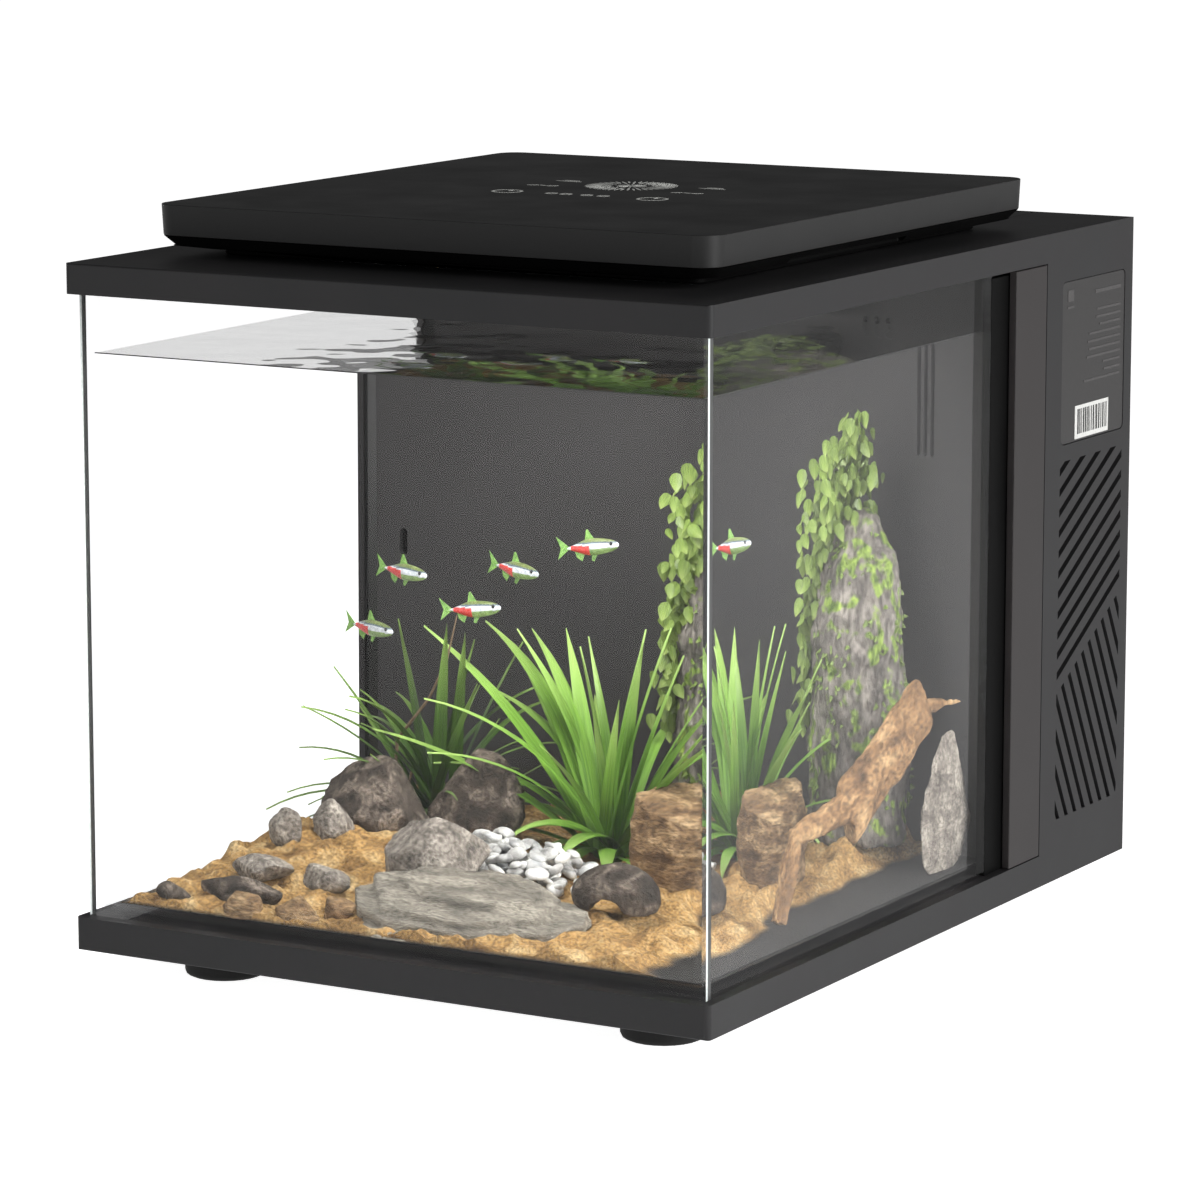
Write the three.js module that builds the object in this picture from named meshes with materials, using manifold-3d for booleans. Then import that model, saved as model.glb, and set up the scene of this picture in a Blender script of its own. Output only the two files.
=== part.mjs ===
// Desktop aquarium in a C-shaped frame: base tray, rear tower and top rim carry a glass tank,
// a filter box, an air-cooled electronics bay, a lift-out filter cassette and a hinged lamp lid.
// Millimetres, +Z up, front towards -Y. The origin is on the floor under the middle of the object.
import * as THREE from "three";
import { mergeVertices } from "three/addons/utils/BufferGeometryUtils.js";
import Module from "manifold-3d";

const wasm = await Module();
wasm.setup();

// ---- driving dimensions ----
const WIDTH = 300;
const DEPTH = 393;
const FOOT_HEIGHT = 14;
const BASE_TOP = 28;
const RIM_UNDER = 288.2;
const FRAME_TOP = 300.8;
const LID_UNDER = 310;
const LID_TOP = 322.8;
const HALF_WIDTH = WIDTH / 2;
const FRONT = -DEPTH / 2;
const REAR = DEPTH / 2;
const WALL = 2.5;
const GAP = 0.3;
const EDGE_RADIUS = 2.6;
const GLASS = 4;

const TANK_X = 146;
const TANK_FRONT = FRONT + 5;
const SIDE_GLASS_END = 57.4;
const GLASS_TOP = 295;
const BACK_WALL_Y = 72;
const BACK_WALL_THICKNESS = 3;
const PANEL_FRONT = 74.1;
const TOWER_FRONT = 105;

const OPENING_X = 108;
const OPENING_FRONT = -133;
const OPENING_REAR = 98;

const HINGE_Y = 122;
const HINGE_Z = 306;
const PIN_RADIUS = 1.5;
const KNUCKLE_RADIUS = 3.2;

const HATCH = { x: 104, y0: 142, y1: 190 };
const VENT = { y0: 120.5, y1: 185.7, z0: 41.2, z1: 200, pitch: 9, slot: 3.4, slope: 0.561 };
const LABEL = { y0: 120.9, y1: 186.5, z0: 207.2, z1: 278.6, depth: 0.9 };

// ---- materials ----
function finish(color, roughness, metalness = 0) {
  return new THREE.MeshStandardMaterial({ color, roughness, metalness });
}
const FRAME_ABS = finish(0x333333, 0.55);
const PANEL_ABS = finish(0x4b4848, 0.5);
const LID_ABS = finish(0x1c1c1c, 0.5);
const INNER_ABS = finish(0x3a3a3a, 0.7);
const CLEAR_GLASS = finish(0xdfeeea, 0.05);
const SILICONE = finish(0x151515, 0.4);
const RUBBER = finish(0x262626, 0.85);
const STEEL = finish(0xb8bcc0, 0.3, 1);
const ALUMINIUM = finish(0xa9adb2, 0.4, 1);
const BOARD_GREEN = finish(0x1f5a38, 0.5);
const LENS_WHITE = finish(0xeef2f4, 0.3);
const FOAM = finish(0x2b4f86, 0.95);
const CERAMIC = finish(0xe8e0d0, 0.9);
const LABEL_GREY = finish(0x525050, 0.45);
const SAND = finish(0xc29660, 0.95);
const ROCK = finish(0x6f6c66, 0.9);
const WOOD = finish(0x94714f, 0.85);
const LEAF = finish(0x6fa830, 0.6);

// ---- solids from closed geometry ----
const ORDER = { x: [1, 2, 0], y: [2, 0, 1], z: [0, 1, 2] };

function solid(geometry) {
  geometry.deleteAttribute("normal");
  geometry.deleteAttribute("uv");
  const merged = mergeVertices(geometry, 1e-4);
  const vertProperties = new Float32Array(merged.attributes.position.array);
  const triVerts = new Uint32Array(merged.index.array);
  return new wasm.Manifold(new wasm.Mesh({ numProp: 3, vertProperties, triVerts }));
}

// An outline in the plane across an axis, extruded along that axis from one level to another.
function prism(axis, shape, from, to, curveSegments = 6) {
  const options = { depth: to - from, bevelEnabled: false, curveSegments };
  const geometry = new THREE.ExtrudeGeometry(shape, options);
  geometry.translate(0, 0, from);
  const columns = [new THREE.Vector3(), new THREE.Vector3(), new THREE.Vector3()];
  ORDER[axis].forEach((world, local) => columns[local].setComponent(world, 1));
  geometry.applyMatrix4(new THREE.Matrix4().makeBasis(...columns));
  return solid(geometry);
}

function polygon(points) {
  return new THREE.Shape(points.map(([u, v]) => new THREE.Vector2(u, v)));
}

// A rectangle whose four corners have their own radii, counter-clockwise from (u0, v0).
function roundedShape(u0, v0, u1, v1, radii) {
  const [a, b, c, d] = radii;
  const shape = new THREE.Shape();
  shape.moveTo(u0 + a, v0);
  shape.lineTo(u1 - b, v0);
  if (b > 0) shape.absarc(u1 - b, v0 + b, b, -Math.PI / 2, 0);
  shape.lineTo(u1, v1 - c);
  if (c > 0) shape.absarc(u1 - c, v1 - c, c, 0, Math.PI / 2);
  shape.lineTo(u0 + d, v1);
  if (d > 0) shape.absarc(u0 + d, v1 - d, d, Math.PI / 2, Math.PI);
  shape.lineTo(u0, v0 + a);
  if (a > 0) shape.absarc(u0 + a, v0 + a, a, Math.PI, 1.5 * Math.PI);
  return shape;
}

// A box between two corners. radius rounds the four edges that run along the axis.
function slab(lo, hi, radius = 0, axis = "z", steps = 3) {
  const [u, v, w] = ORDER[axis];
  const radii = [radius, radius, radius, radius];
  const shape = roundedShape(lo[u], lo[v], hi[u], hi[v], radii);
  return prism(axis, shape, lo[w], hi[w], steps);
}

// A box whose lower face is drawn in by inset on all four sides.
function taperedSlab(lo, hi, radius, inset) {
  const shape = roundedShape(lo[0], lo[1], hi[0], hi[1], [radius, radius, radius, radius]);
  const options = { depth: hi[2] - lo[2], bevelEnabled: false, curveSegments: 4 };
  const geometry = new THREE.ExtrudeGeometry(shape, options);
  const middle = [(lo[0] + hi[0]) / 2, (lo[1] + hi[1]) / 2];
  const scale = [0, 1].map((k) => 1 - inset / (hi[k] - middle[k]));
  const position = geometry.attributes.position;
  for (let i = 0; i < position.count; i += 1) {
    if (position.getZ(i) > 1e-6) continue;
    position.setX(i, middle[0] + (position.getX(i) - middle[0]) * scale[0]);
    position.setY(i, middle[1] + (position.getY(i) - middle[1]) * scale[1]);
  }
  geometry.translate(0, 0, lo[2]);
  return solid(geometry);
}

// A round bar along an axis. centre gives the two coordinates across it in the order of ORDER.
function rod(axis, centre, radius, from, to, sides = 20) {
  const shape = polygon(circlePoints(centre, radius, sides));
  return prism(axis, shape, from, to);
}

function circlePoints([u, v], radius, sides) {
  return Array.from({ length: sides }, (_, i) => {
    const turn = (2 * Math.PI * i) / sides;
    return [u + radius * Math.cos(turn), v + radius * Math.sin(turn)];
  });
}

function union(solids) {
  return solids.reduce((sum, next) => sum.add(next));
}

function cut(body, tools) {
  return tools.reduce((rest, tool) => rest.subtract(tool), body);
}

// ---- scene graph ----
const aquarium = new THREE.Group();

function addPart(name, body, material) {
  const { vertProperties, triVerts } = body.getMesh();
  const geometry = new THREE.BufferGeometry();
  geometry.setAttribute("position", new THREE.BufferAttribute(vertProperties, 3));
  geometry.setIndex(new THREE.BufferAttribute(triVerts, 1));
  geometry.computeVertexNormals();
  const mesh = new THREE.Mesh(geometry, material);
  mesh.name = name;
  aquarium.add(mesh);
}

// ---- frame ----
// One field of slanted slots, given as long bars across the wall and trimmed to an outline.
function slotField(x0, x1) {
  const { y0, y1, z0, z1, pitch, slot, slope } = VENT;
  const width = y1 - y0;
  const rise = width * slope;
  const splitLow = 97.4;
  const splitHigh = 103.8;
  const upper = [];
  for (let k = 0; k < 12; k += 1) {
    const z = splitHigh + k * pitch;
    upper.push(polygon([[y0 - 1, z - slope], [y1 + 1, z + rise + slope],
      [y1 + 1, z + rise + slope + slot], [y0 - 1, z - slope + slot]]));
  }
  const lower = [];
  const reach = 110;
  for (let k = 0; k < 13; k += 1) {
    const y = y0 + 2.3 + k * pitch;
    lower.push(polygon([[y, z0 - 1], [y + slot, z0 - 1],
      [y + slot - reach * slope, z0 - 1 + reach], [y - reach * slope, z0 - 1 + reach]]));
  }
  const field = slab([x0, y0, z0], [x1, y1, z1], 3, "x", 3);
  const below = prism("x", polygon([[y0 - 1, z0 - 1], [y1 + 1, z0 - 1],
    [y1 + 1, splitLow + rise + slope], [y0 - 1, splitLow - slope]]), x0, x1);
  const bars = (outlines) => union(outlines.map((outline) => prism("x", outline, x0, x1)));
  return bars(upper).intersect(field).add(bars(lower).intersect(field).intersect(below));
}

function frameEnvelope() {
  const plan = slab([-HALF_WIDTH, FRONT, FOOT_HEIGHT], [HALF_WIDTH, REAR, FRAME_TOP], EDGE_RADIUS);
  const side = roundedShape(FRONT, FOOT_HEIGHT, REAR, FRAME_TOP, [0.8, EDGE_RADIUS, EDGE_RADIUS, 0.8]);
  return plan.intersect(prism("x", side, -HALF_WIDTH - 1, HALF_WIDTH + 1, 3));
}

function mainFrame() {
  const inX = HALF_WIDTH - WALL;
  const far = HALF_WIDTH + 10;
  const tankSpace = slab([-far, FRONT - 10, BASE_TOP], [far, TOWER_FRONT, RIM_UNDER]);
  const trayHollow = slab([-inX, FRONT + WALL, FOOT_HEIGHT - 1], [inX, TOWER_FRONT, BASE_TOP - 3]);
  const towerHollow = slab([-inX, TOWER_FRONT + WALL, FOOT_HEIGHT - 1], [inX, REAR - WALL, FRAME_TOP - WALL]);
  const trayDoor = slab([-inX, TOWER_FRONT - 1, FOOT_HEIGHT - 1], [inX, TOWER_FRONT + 5, BASE_TOP - 3]);
  const rearDoor = slab([-138, REAR - 5, 34], [138, REAR + 5, 280], 4, "y");
  const lidOpening = slab([-OPENING_X, OPENING_FRONT, 280], [OPENING_X, OPENING_REAR, 310], 4);
  const hatchOpening = slab([-HATCH.x, HATCH.y0, 290], [HATCH.x, HATCH.y1, 310], 3);
  const outer = slab([-inX, FRONT + WALL, 280], [inX, TOWER_FRONT - 4, FRAME_TOP - 3]);
  const inner = slab([-OPENING_X - 4, OPENING_FRONT - 4, 279], [OPENING_X + 4, OPENING_REAR + 4, 310]);
  const rimChannel = outer.subtract(inner);
  const hosePass = rod("y", [262, 60], 9, TOWER_FRONT - 5, TOWER_FRONT + 5, 16);
  const labelRecess = slab([HALF_WIDTH - LABEL.depth, LABEL.y0, LABEL.z0],
    [far, LABEL.y1, LABEL.z1], 3, "x", 3);
  return cut(frameEnvelope(), [tankSpace, trayHollow, towerHollow, trayDoor, rearDoor, lidOpening,
    hatchOpening, rimChannel, hosePass, labelRecess,
    slotField(HALF_WIDTH - 4, far), slotField(-far, 4 - HALF_WIDTH)]);
}

function basePlate() {
  const inX = HALF_WIDTH - WALL - 0.4;
  return slab([-inX, FRONT + WALL + 0.4, FOOT_HEIGHT + GAP], [inX, REAR - WALL - 0.4, FOOT_HEIGHT + 2.5], 2);
}

const COVER_FACE = REAR - 1.8;
const COVER_SCREWS = [[-130, 44], [130, 44], [-130, 270], [130, 270]];
const INLET = { x: -96, z: 62, radius: 6 };

function rearCover() {
  const plate = slab([-137.6, COVER_FACE - 2, 34.4], [137.6, COVER_FACE, 279.6], 3.6, "y");
  const holes = COVER_SCREWS.map(([x, z]) => rod("y", [z, x], 2, REAR - 5, REAR + 5, 12));
  const inlet = rod("y", [INLET.z, INLET.x], INLET.radius + GAP, REAR - 5, REAR + 5);
  return cut(plate, [...holes, inlet]);
}

// A cover screw: its low head lies on the cover and stays inside the frame's rear edge.
function coverScrew([x, z]) {
  const head = rod("y", [z, x], 3.2, COVER_FACE + 0.05, REAR - 0.2, 12);
  const shank = rod("y", [z, x], 1.5, COVER_FACE - 6, COVER_FACE + 0.5, 8);
  return head.add(shank);
}

function sidePanel(side) {
  const seam = 0.45;
  const inner = TANK_X + 0.5;
  const face = [inner, PANEL_FRONT, BASE_TOP + seam];
  const edge = [HALF_WIDTH, TOWER_FRONT - seam, RIM_UNDER - seam];
  const [x0, x1] = side > 0 ? [face[0], edge[0]] : [-edge[0], -face[0]];
  return slab([x0, face[1], face[2]], [x1, edge[1], edge[2]], 0.4, "z", 2);
}

function addFrame() {
  addPart("main_frame", mainFrame(), FRAME_ABS);
  addPart("base_plate", basePlate(), INNER_ABS);
  addPart("rear_cover", rearCover(), FRAME_ABS);
  COVER_SCREWS.forEach((place, i) => addPart(`rear_cover_screw_${i + 1}`, coverScrew(place), STEEL));
  addPart("side_panel_left", sidePanel(-1), PANEL_ABS);
  addPart("side_panel_right", sidePanel(1), PANEL_ABS);
  addPart("rating_label", slab([HALF_WIDTH - LABEL.depth + GAP, LABEL.y0 + 0.4, LABEL.z0 + 0.4],
    [HALF_WIDTH - 0.2, LABEL.y1 - 0.4, LABEL.z1 - 0.4], 2.6, "x", 3), LABEL_GREY);
}

// ---- feet ----
const FOOT = { radius: 17.5, x: 105, y: 151.5, inset: 2 };

function foot(x, y) {
  const r = FOOT.radius;
  const top = FOOT_HEIGHT - GAP;
  const profile = [[0, 0], [r - FOOT.inset, 0], [r - 0.6, 0.7], [r, FOOT.inset], [r, top], [0, top]];
  const geometry = new THREE.LatheGeometry(profile.map(([a, b]) => new THREE.Vector2(a, b)), 24);
  geometry.rotateX(Math.PI / 2);
  geometry.translate(x, y, 0);
  return solid(geometry);
}

function addFeet() {
  for (const [row, y] of [["front", -FOOT.y], ["rear", FOOT.y]]) {
    for (const [side, x] of [["left", -FOOT.x], ["right", FOOT.x]]) {
      addPart(`foot_${row}_${side}`, foot(x, y), RUBBER);
    }
  }
}

// ---- glass tank ----
const TANK_FLOOR = BASE_TOP + GAP + GLASS;

function addTank() {
  const low = BASE_TOP + GAP;
  const inner = TANK_X - GLASS;
  const frontIn = TANK_FRONT + GLASS;
  const sideStart = frontIn + GAP;
  addPart("glass_front", slab([-TANK_X, TANK_FRONT, low], [TANK_X, frontIn, GLASS_TOP]), CLEAR_GLASS);
  const leftEnd = BACK_WALL_Y + BACK_WALL_THICKNESS;
  addPart("glass_left", slab([-TANK_X, sideStart, low], [-inner, leftEnd, GLASS_TOP]), CLEAR_GLASS);
  addPart("glass_right", slab([inner, sideStart, low], [TANK_X, SIDE_GLASS_END, GLASS_TOP]), CLEAR_GLASS);
  const pane = slab([GAP - inner, sideStart, low], [inner - GAP, leftEnd, TANK_FLOOR]);
  addPart("glass_bottom", pane, CLEAR_GLASS);
  addPart("back_wall", backWall(), INNER_ABS);
  const bead = 3;
  const beadTop = RIM_UNDER - 1;
  for (const [side, sign] of [["left", -1], ["right", 1]]) {
    const x = sign * (inner - GAP);
    addPart(`silicone_front_${side}`, cornerBead(x, frontIn + GAP, -sign * bead, bead, beadTop), SILICONE);
    addPart(`silicone_back_${side}`, cornerBead(x, BACK_WALL_Y - GAP, -sign * bead, -bead, beadTop), SILICONE);
  }
}

// A three-cornered silicone bead standing in an upright corner of the tank.
function cornerBead(x, y, alongX, alongY, top) {
  const corner = [[x, y], [x + alongX, y], [x, y + alongY]];
  const area = alongX * alongY;
  return prism("z", polygon(area > 0 ? corner : corner.reverse()), TANK_FLOOR + GAP, top);
}

function backWall() {
  const half = TANK_X - GLASS - GAP;
  const y1 = BACK_WALL_Y + BACK_WALL_THICKNESS;
  const plate = slab([-half, BACK_WALL_Y, TANK_FLOOR + GAP], [half, y1, RIM_UNDER - 0.6]);
  const tools = [rod("y", [RETURN_PORT.z, RETURN_PORT.x], 8, BACK_WALL_Y - 5, y1 + 5, 20)];
  for (let k = 0; k < 3; k += 1) {
    const x = 78 + k * 5.5;
    tools.push(slab([x, BACK_WALL_Y - 5, 206], [x + 3, y1 + 5, 265], 1.4, "y", 2));
  }
  tools.push(slab([-127, BACK_WALL_Y - 5, 151], [-123, y1 + 5, 163], 1.9, "y", 2));
  return cut(plate, tools);
}

// ---- filter box, pump and heater ----
const BOX = { y0: BACK_WALL_Y + BACK_WALL_THICKNESS + GAP, y1: 103, floor: 36 };

function filterBox() {
  const innerX = 137;
  const outer = slab([-TANK_X, SIDE_GLASS_END + GAP, BASE_TOP + GAP], [TANK_X, BOX.y1, 286]);
  const tankEnd = slab([-TANK_X - 5, SIDE_GLASS_END - 1, BASE_TOP - 1], [TANK_X - GLASS, BOX.y0, 300]);
  const hollow = slab([-innerX, BOX.y0 - 1, BOX.floor], [innerX, BOX.y1 - 3, 300]);
  return cut(outer, [tankEnd, hollow]);
}

const PUMP = { x: 60, y: 89, z0: 38, z1: 74, axisZ: 56 };

function addPump() {
  const { x, y, z0, z1, axisZ } = PUMP;
  const body = slab([x - 24, y - 10.5, z0], [x + 24, y + 10.5, z1], 4);
  const chamber = rod("x", [y, axisZ], 8.6, x - 8, x + 30);
  const outlet = rod("z", [x, y], 5, axisZ, z1 + 10, 16);
  const spout = rod("z", [x, y], 8, z1 - 1, z1 + 12, 20);
  addPart("pump_housing", body.add(spout).subtract(chamber).subtract(outlet), INNER_ABS);
  const cover = slab([x + 24 + GAP, y - 9.5, z0 + 1], [x + 30, y + 9.5, z1 - 1], 4, "x");
  const intake = rod("x", [y, axisZ], 6, x + 20, x + 40, 20);
  addPart("pump_cover", cover.subtract(intake), INNER_ABS);
  addPart("impeller", impeller(), CERAMIC);
  addPart("impeller_shaft", rod("x", [y, axisZ], 1, x - 7.5, x + 23.6, 12), STEEL);
}

function impeller() {
  const { x, y, axisZ } = PUMP;
  const centre = [y, axisZ];
  const magnet = rod("x", centre, 5, x - 5, x + 8, 20);
  const disc = rod("x", centre, 7.6, x + 8, x + 10, 20);
  const blade = (k) => bladeAround("x", centre, [2, 7.4], 1.2, [x + 9.5, x + 17], (k * Math.PI) / 3);
  const blades = Array.from({ length: 6 }, (_, k) => blade(k));
  const bore = rod("x", centre, 1.4, x - 20, x + 40, 12);
  return union([magnet, disc, ...blades]).subtract(bore);
}

// A flat blade that starts near an axis and points away from it at the given turn.
function bladeAround(axis, [u, v], [near, far], thickness, [from, to], turn) {
  const along = [Math.cos(turn), Math.sin(turn)];
  const across = [-along[1] * thickness * 0.5, along[0] * thickness * 0.5];
  const point = (r, s) => [u + along[0] * r + across[0] * s, v + along[1] * r + across[1] * s];
  return prism(axis, polygon([point(near, -1), point(far, -1), point(far, 1), point(near, 1)]), from, to);
}

// A round tube along a smooth path.
function tube(points, radius, bore, steps, sides = 10) {
  const path = new THREE.CatmullRomCurve3(points.map((p) => new THREE.Vector3(...p)));
  const ring = (r) => polygon(circlePoints([0, 0], r, sides));
  const shape = ring(radius);
  shape.holes.push(new THREE.Path(ring(bore).getPoints().reverse()));
  return solid(new THREE.ExtrudeGeometry(shape, { steps, extrudePath: path, bevelEnabled: false }));
}

const RETURN_PORT = { x: 60, z: 276 };

function addWaterSystem() {
  addPart("filter_box", filterBox(), INNER_ABS);
  addPump();
  const { x, z } = RETURN_PORT;
  const riser = [PUMP.z1 + 13, 150, 210, 256].map((height) => [x, PUMP.y, height]);
  const route = [...riser, [x, PUMP.y - 2, z - 8], [x, PUMP.y - 6.5, z - 1], [x, PUMP.y - 11, z]];
  addPart("outlet_pipe", tube(route, 6.5, 4.5, 14), INNER_ABS);
  addPart("outlet_nozzle", outletNozzle(), LID_ABS);
  addPart("prefilter_sponge", slab([92, BOX.y0 + 2, 100], [130, 96, 205], 3), FOAM);
  const heater = rod("z", [-70, 88], 9, 60, 230, 20);
  addPart("heater", heater.add(rod("z", [-70, 88], 11, 229, 252, 20)), STEEL);
}

// The return nozzle: a round boss in the wall's port and a short flattened spout.
function outletNozzle() {
  const { x, z } = RETURN_PORT;
  const boss = rod("y", [z, x], 7.5, BACK_WALL_Y - 14, BACK_WALL_Y + 3.2, 20);
  const spout = slab([x - 13, BACK_WALL_Y - 26, z - 4.5], [x + 13, BACK_WALL_Y - 12, z + 4.5], 3);
  const bore = rod("y", [z, x], 4.5, BACK_WALL_Y - 16, BACK_WALL_Y + 10, 16);
  const mouth = slab([x - 10.5, BACK_WALL_Y - 40, z - 2.5], [x + 10.5, BACK_WALL_Y - 15, z + 2.5]);
  return boss.add(spout).subtract(bore).subtract(mouth);
}

// ---- filter cassette in the tower ----
const CHAMBER = { x: 108, y0: 139, y1: 192.5, z0: 205, z1: FRAME_TOP - WALL - GAP };

function addCassette() {
  const { x, y0, y1, z0, z1 } = CHAMBER;
  const wall = 2;
  const shell = slab([-x, y0, z0], [x, y1, z1], 3);
  const space = slab([wall - x, y0 + wall, z0 + wall], [x - wall, y1 - wall, z1 + 5], 2);
  const drain = rod("z", [90, 166], 6, z0 - 5, z0 + 5, 16);
  addPart("filter_chamber", cut(shell, [space, drain]), INNER_ABS);

  const capUnder = FRAME_TOP - WALL;
  const cap = slab([0.5 - HATCH.x, HATCH.y0 + 0.5, capUnder], [HATCH.x - 0.5, HATCH.y1 - 0.5, FRAME_TOP], 2.5);
  const grip = slab([-22, 160, FRAME_TOP - 1.5], [22, 172, FRAME_TOP + 5], 5);
  addPart("cassette_cap", cap.subtract(grip), LID_ABS);
  addPart("cassette_basket", cassetteBasket(capUnder - GAP), INNER_ABS);
  addPart("cassette_sponge", slab([-98, 146, 213], [98, 186, 250], 3), FOAM);
  addPart("cassette_media", slab([-98, 146, 250.5], [98, 186, 284], 3), CERAMIC);
}

function cassetteBasket(top) {
  const low = 209;
  const shell = slab([-102, 143.5, low], [102, 188.5, top], 4);
  const space = slab([-99.5, 145, low + 2.5], [99.5, 187, top + 5], 3);
  const slots = Array.from({ length: 9 }, (_, k) => {
    const x = -84 + k * 21;
    return slab([x - 6, 150, low - 3], [x + 6, 182, low + 5]);
  });
  return cut(shell, [space, ...slots]);
}

// ---- air bay: fan, heat sink, board and power inlet ----
const FAN = { y: 153, z: 96, size: 30, x0: 118, x1: 133, bore: 28, hub: 10 };

function addAirBay() {
  const { y, z, size, x0, x1, bore, hub } = FAN;
  const frame = slab([x0, y - size, z - size], [x1, y + size, z + size], 3, "x");
  const ring = frame.subtract(rod("x", [y, z], bore, x0 - 5, x1 + 5, 24));
  const spider = union([rod("x", [y, z], hub, x0, x0 + 2, 20),
    slab([x0, y - size + 1, z - 2], [x0 + 2, y + size - 1, z + 2])]);
  addPart("fan_frame", ring.add(spider), FRAME_ABS);
  addPart("fan_rotor", fanRotor([x0 + 2 + GAP, x1 - 1]), LID_ABS);
  addPart("heat_sink", heatSink(), ALUMINIUM);
  addPart("control_board", controlBoard(), BOARD_GREEN);
  addPart("dc_inlet", powerInlet(), INNER_ABS);
}

// Seven blades pitched round the hub.
function fanRotor([from, to]) {
  const { y, z, hub, bore } = FAN;
  const blades = Array.from({ length: 7 }, (_, k) => {
    const turn = (2 * Math.PI * k) / 7;
    const geometry = new THREE.BoxGeometry(1.6, bore - hub - 0.8, 12);
    geometry.rotateY(0.7);
    geometry.translate(0, (bore + hub) / 2 - 1.2, 0);
    geometry.rotateX(turn);
    geometry.translate((from + to) / 2, y, z);
    return solid(geometry);
  });
  return union([rod("x", [y, z], hub, from, to, 20), ...blades]);
}

function heatSink() {
  const fins = Array.from({ length: 10 }, (_, k) => {
    const x = 42 + k * 7;
    return slab([x, 114, 62], [x + 1.5, 150, 132]);
  });
  return union([slab([40, 108.2, 60], [108, 114.5, 134]), ...fins]);
}

function controlBoard() {
  const board = slab([-120, 176, 50], [-10, 178, 160], 2, "y");
  const chips = [[-100, 120, 24, 24], [-60, 90, 18, 30], [-40, 130, 14, 14], [-110, 70, 12, 26]];
  const blocks = chips.map(([x, z, w, h]) => slab([x, 170, z], [x + w, 177, z + h]));
  return union([board, ...blocks]);
}

function powerInlet() {
  const { x, z, radius } = INLET;
  const barrel = rod("y", [z, x], radius, 182, COVER_FACE, 20);
  const mouth = rod("y", [z, x], 3.4, 186, REAR + 5, 16);
  const flange = slab([x - 10, 180, z - 10], [x + 10, 184, z + 10]);
  return barrel.add(flange).subtract(mouth);
}

// ---- lid, collar and hinge ----
const LID = { x: 131, y0: -160.5, y1: 124.5, radius: 10, tongueX: 112, tongueY: 128.5 };
const COLLAR = { x: 113, y0: -138, y1: 112, top: 303.6 };

function lidShell() {
  const { x, y0, y1, radius, tongueX, tongueY } = LID;
  const outer = taperedSlab([-x, y0, LID_UNDER], [x, y1, LID_TOP], radius, 0.5);
  const hollow = slab([3 - x, y0 + 3, LID_UNDER - 1], [x - 3, y1 - 3, LID_TOP - WALL], 7);
  const tongue = slab([-tongueX, y1 - 2, 313], [tongueX, tongueY, LID_TOP - 0.6], 1.6);
  return outer.subtract(hollow).add(tongue);
}

const LAMP = { x: 92, y0: -118, y1: -42 };

function lidBase() {
  const { x, y0, y1, radius } = LID;
  const seam = LID_UNDER - GAP;
  const bevel = taperedSlab([0.8 - x, y0 + 0.8, 305.5], [x - 0.8, y1 - 0.8, seam], radius - 0.8, 3.7);
  const dish = taperedSlab([4.5 - x, y0 + 4.5, 303.9], [x - 4.5, y1 - 4.5, 305.6], radius - 4, 10);
  const spigot = slab([4 - x, y0 + 4, seam - 1], [x - 4, y1 - 4, seam + 2.4], 6);
  const well = slab([7 - x, y0 + 7, 306.5], [x - 7, y1 - 12, seam + 5], 4);
  const window = slab([-LAMP.x, LAMP.y0, 300], [LAMP.x, LAMP.y1, 310], 3);
  const hingeSpace = slab([-61, 115, 300], [61, 130, seam + 5]);
  const notches = [-1, 1].map((side) => fingerNotch(side));
  const body = cut(union([bevel, dish, spigot]), [well, window, hingeSpace, ...notches]);
  const lugs = [[-39.6, -10.4], [10.4, 39.6]].map(([a, b]) => lidLug(a, b));
  return body.add(union(lugs));
}

// A finger recess along the side bevel.
function fingerNotch(side) {
  const [x0, x1] = side > 0 ? [LID.x - 7, LID.x + 5] : [-LID.x - 5, 7 - LID.x];
  return slab([x0, -91.5, 300], [x1, 12.5, 307.4], 1, "z", 2);
}

function lidLug(a, b) {
  const eye = rod("x", [HINGE_Y, HINGE_Z], KNUCKLE_RADIUS, a, b, 16);
  const web = slab([a, 108, HINGE_Z], [b, HINGE_Y, HINGE_Z + KNUCKLE_RADIUS]);
  return eye.add(web).subtract(rod("x", [HINGE_Y, HINGE_Z], PIN_RADIUS + GAP, a - 5, b + 5, 12));
}

function hingeBracket() {
  const strip = slab([-60, HINGE_Y - 6, FRAME_TOP + GAP], [60, HINGE_Y + 5, 302.5]);
  const eyes = [[-60, -40], [-10, 10], [40, 60]].map(([a, b]) => {
    const eye = rod("x", [HINGE_Y, HINGE_Z], KNUCKLE_RADIUS, a, b, 16);
    const post = slab([a, HINGE_Y - 3, 302], [b, HINGE_Y + 3, HINGE_Z]);
    return eye.add(post).subtract(rod("x", [HINGE_Y, HINGE_Z], PIN_RADIUS + GAP, a - 5, b + 5, 12));
  });
  return union([strip, ...eyes]);
}

function lidCollar() {
  const { x, y0, y1, top } = COLLAR;
  const ring = slab([-x, y0, FRAME_TOP + GAP], [x, y1, top], 6);
  const opening = slab([-OPENING_X, OPENING_FRONT, 290], [OPENING_X, OPENING_REAR, 310], 4);
  const nicks = [-48, 56].map((place) => slab([place - 1, y0 - 5, 302], [place + 1, y0 + 1.5, 310]));
  return cut(ring, [opening, ...nicks]);
}

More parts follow.
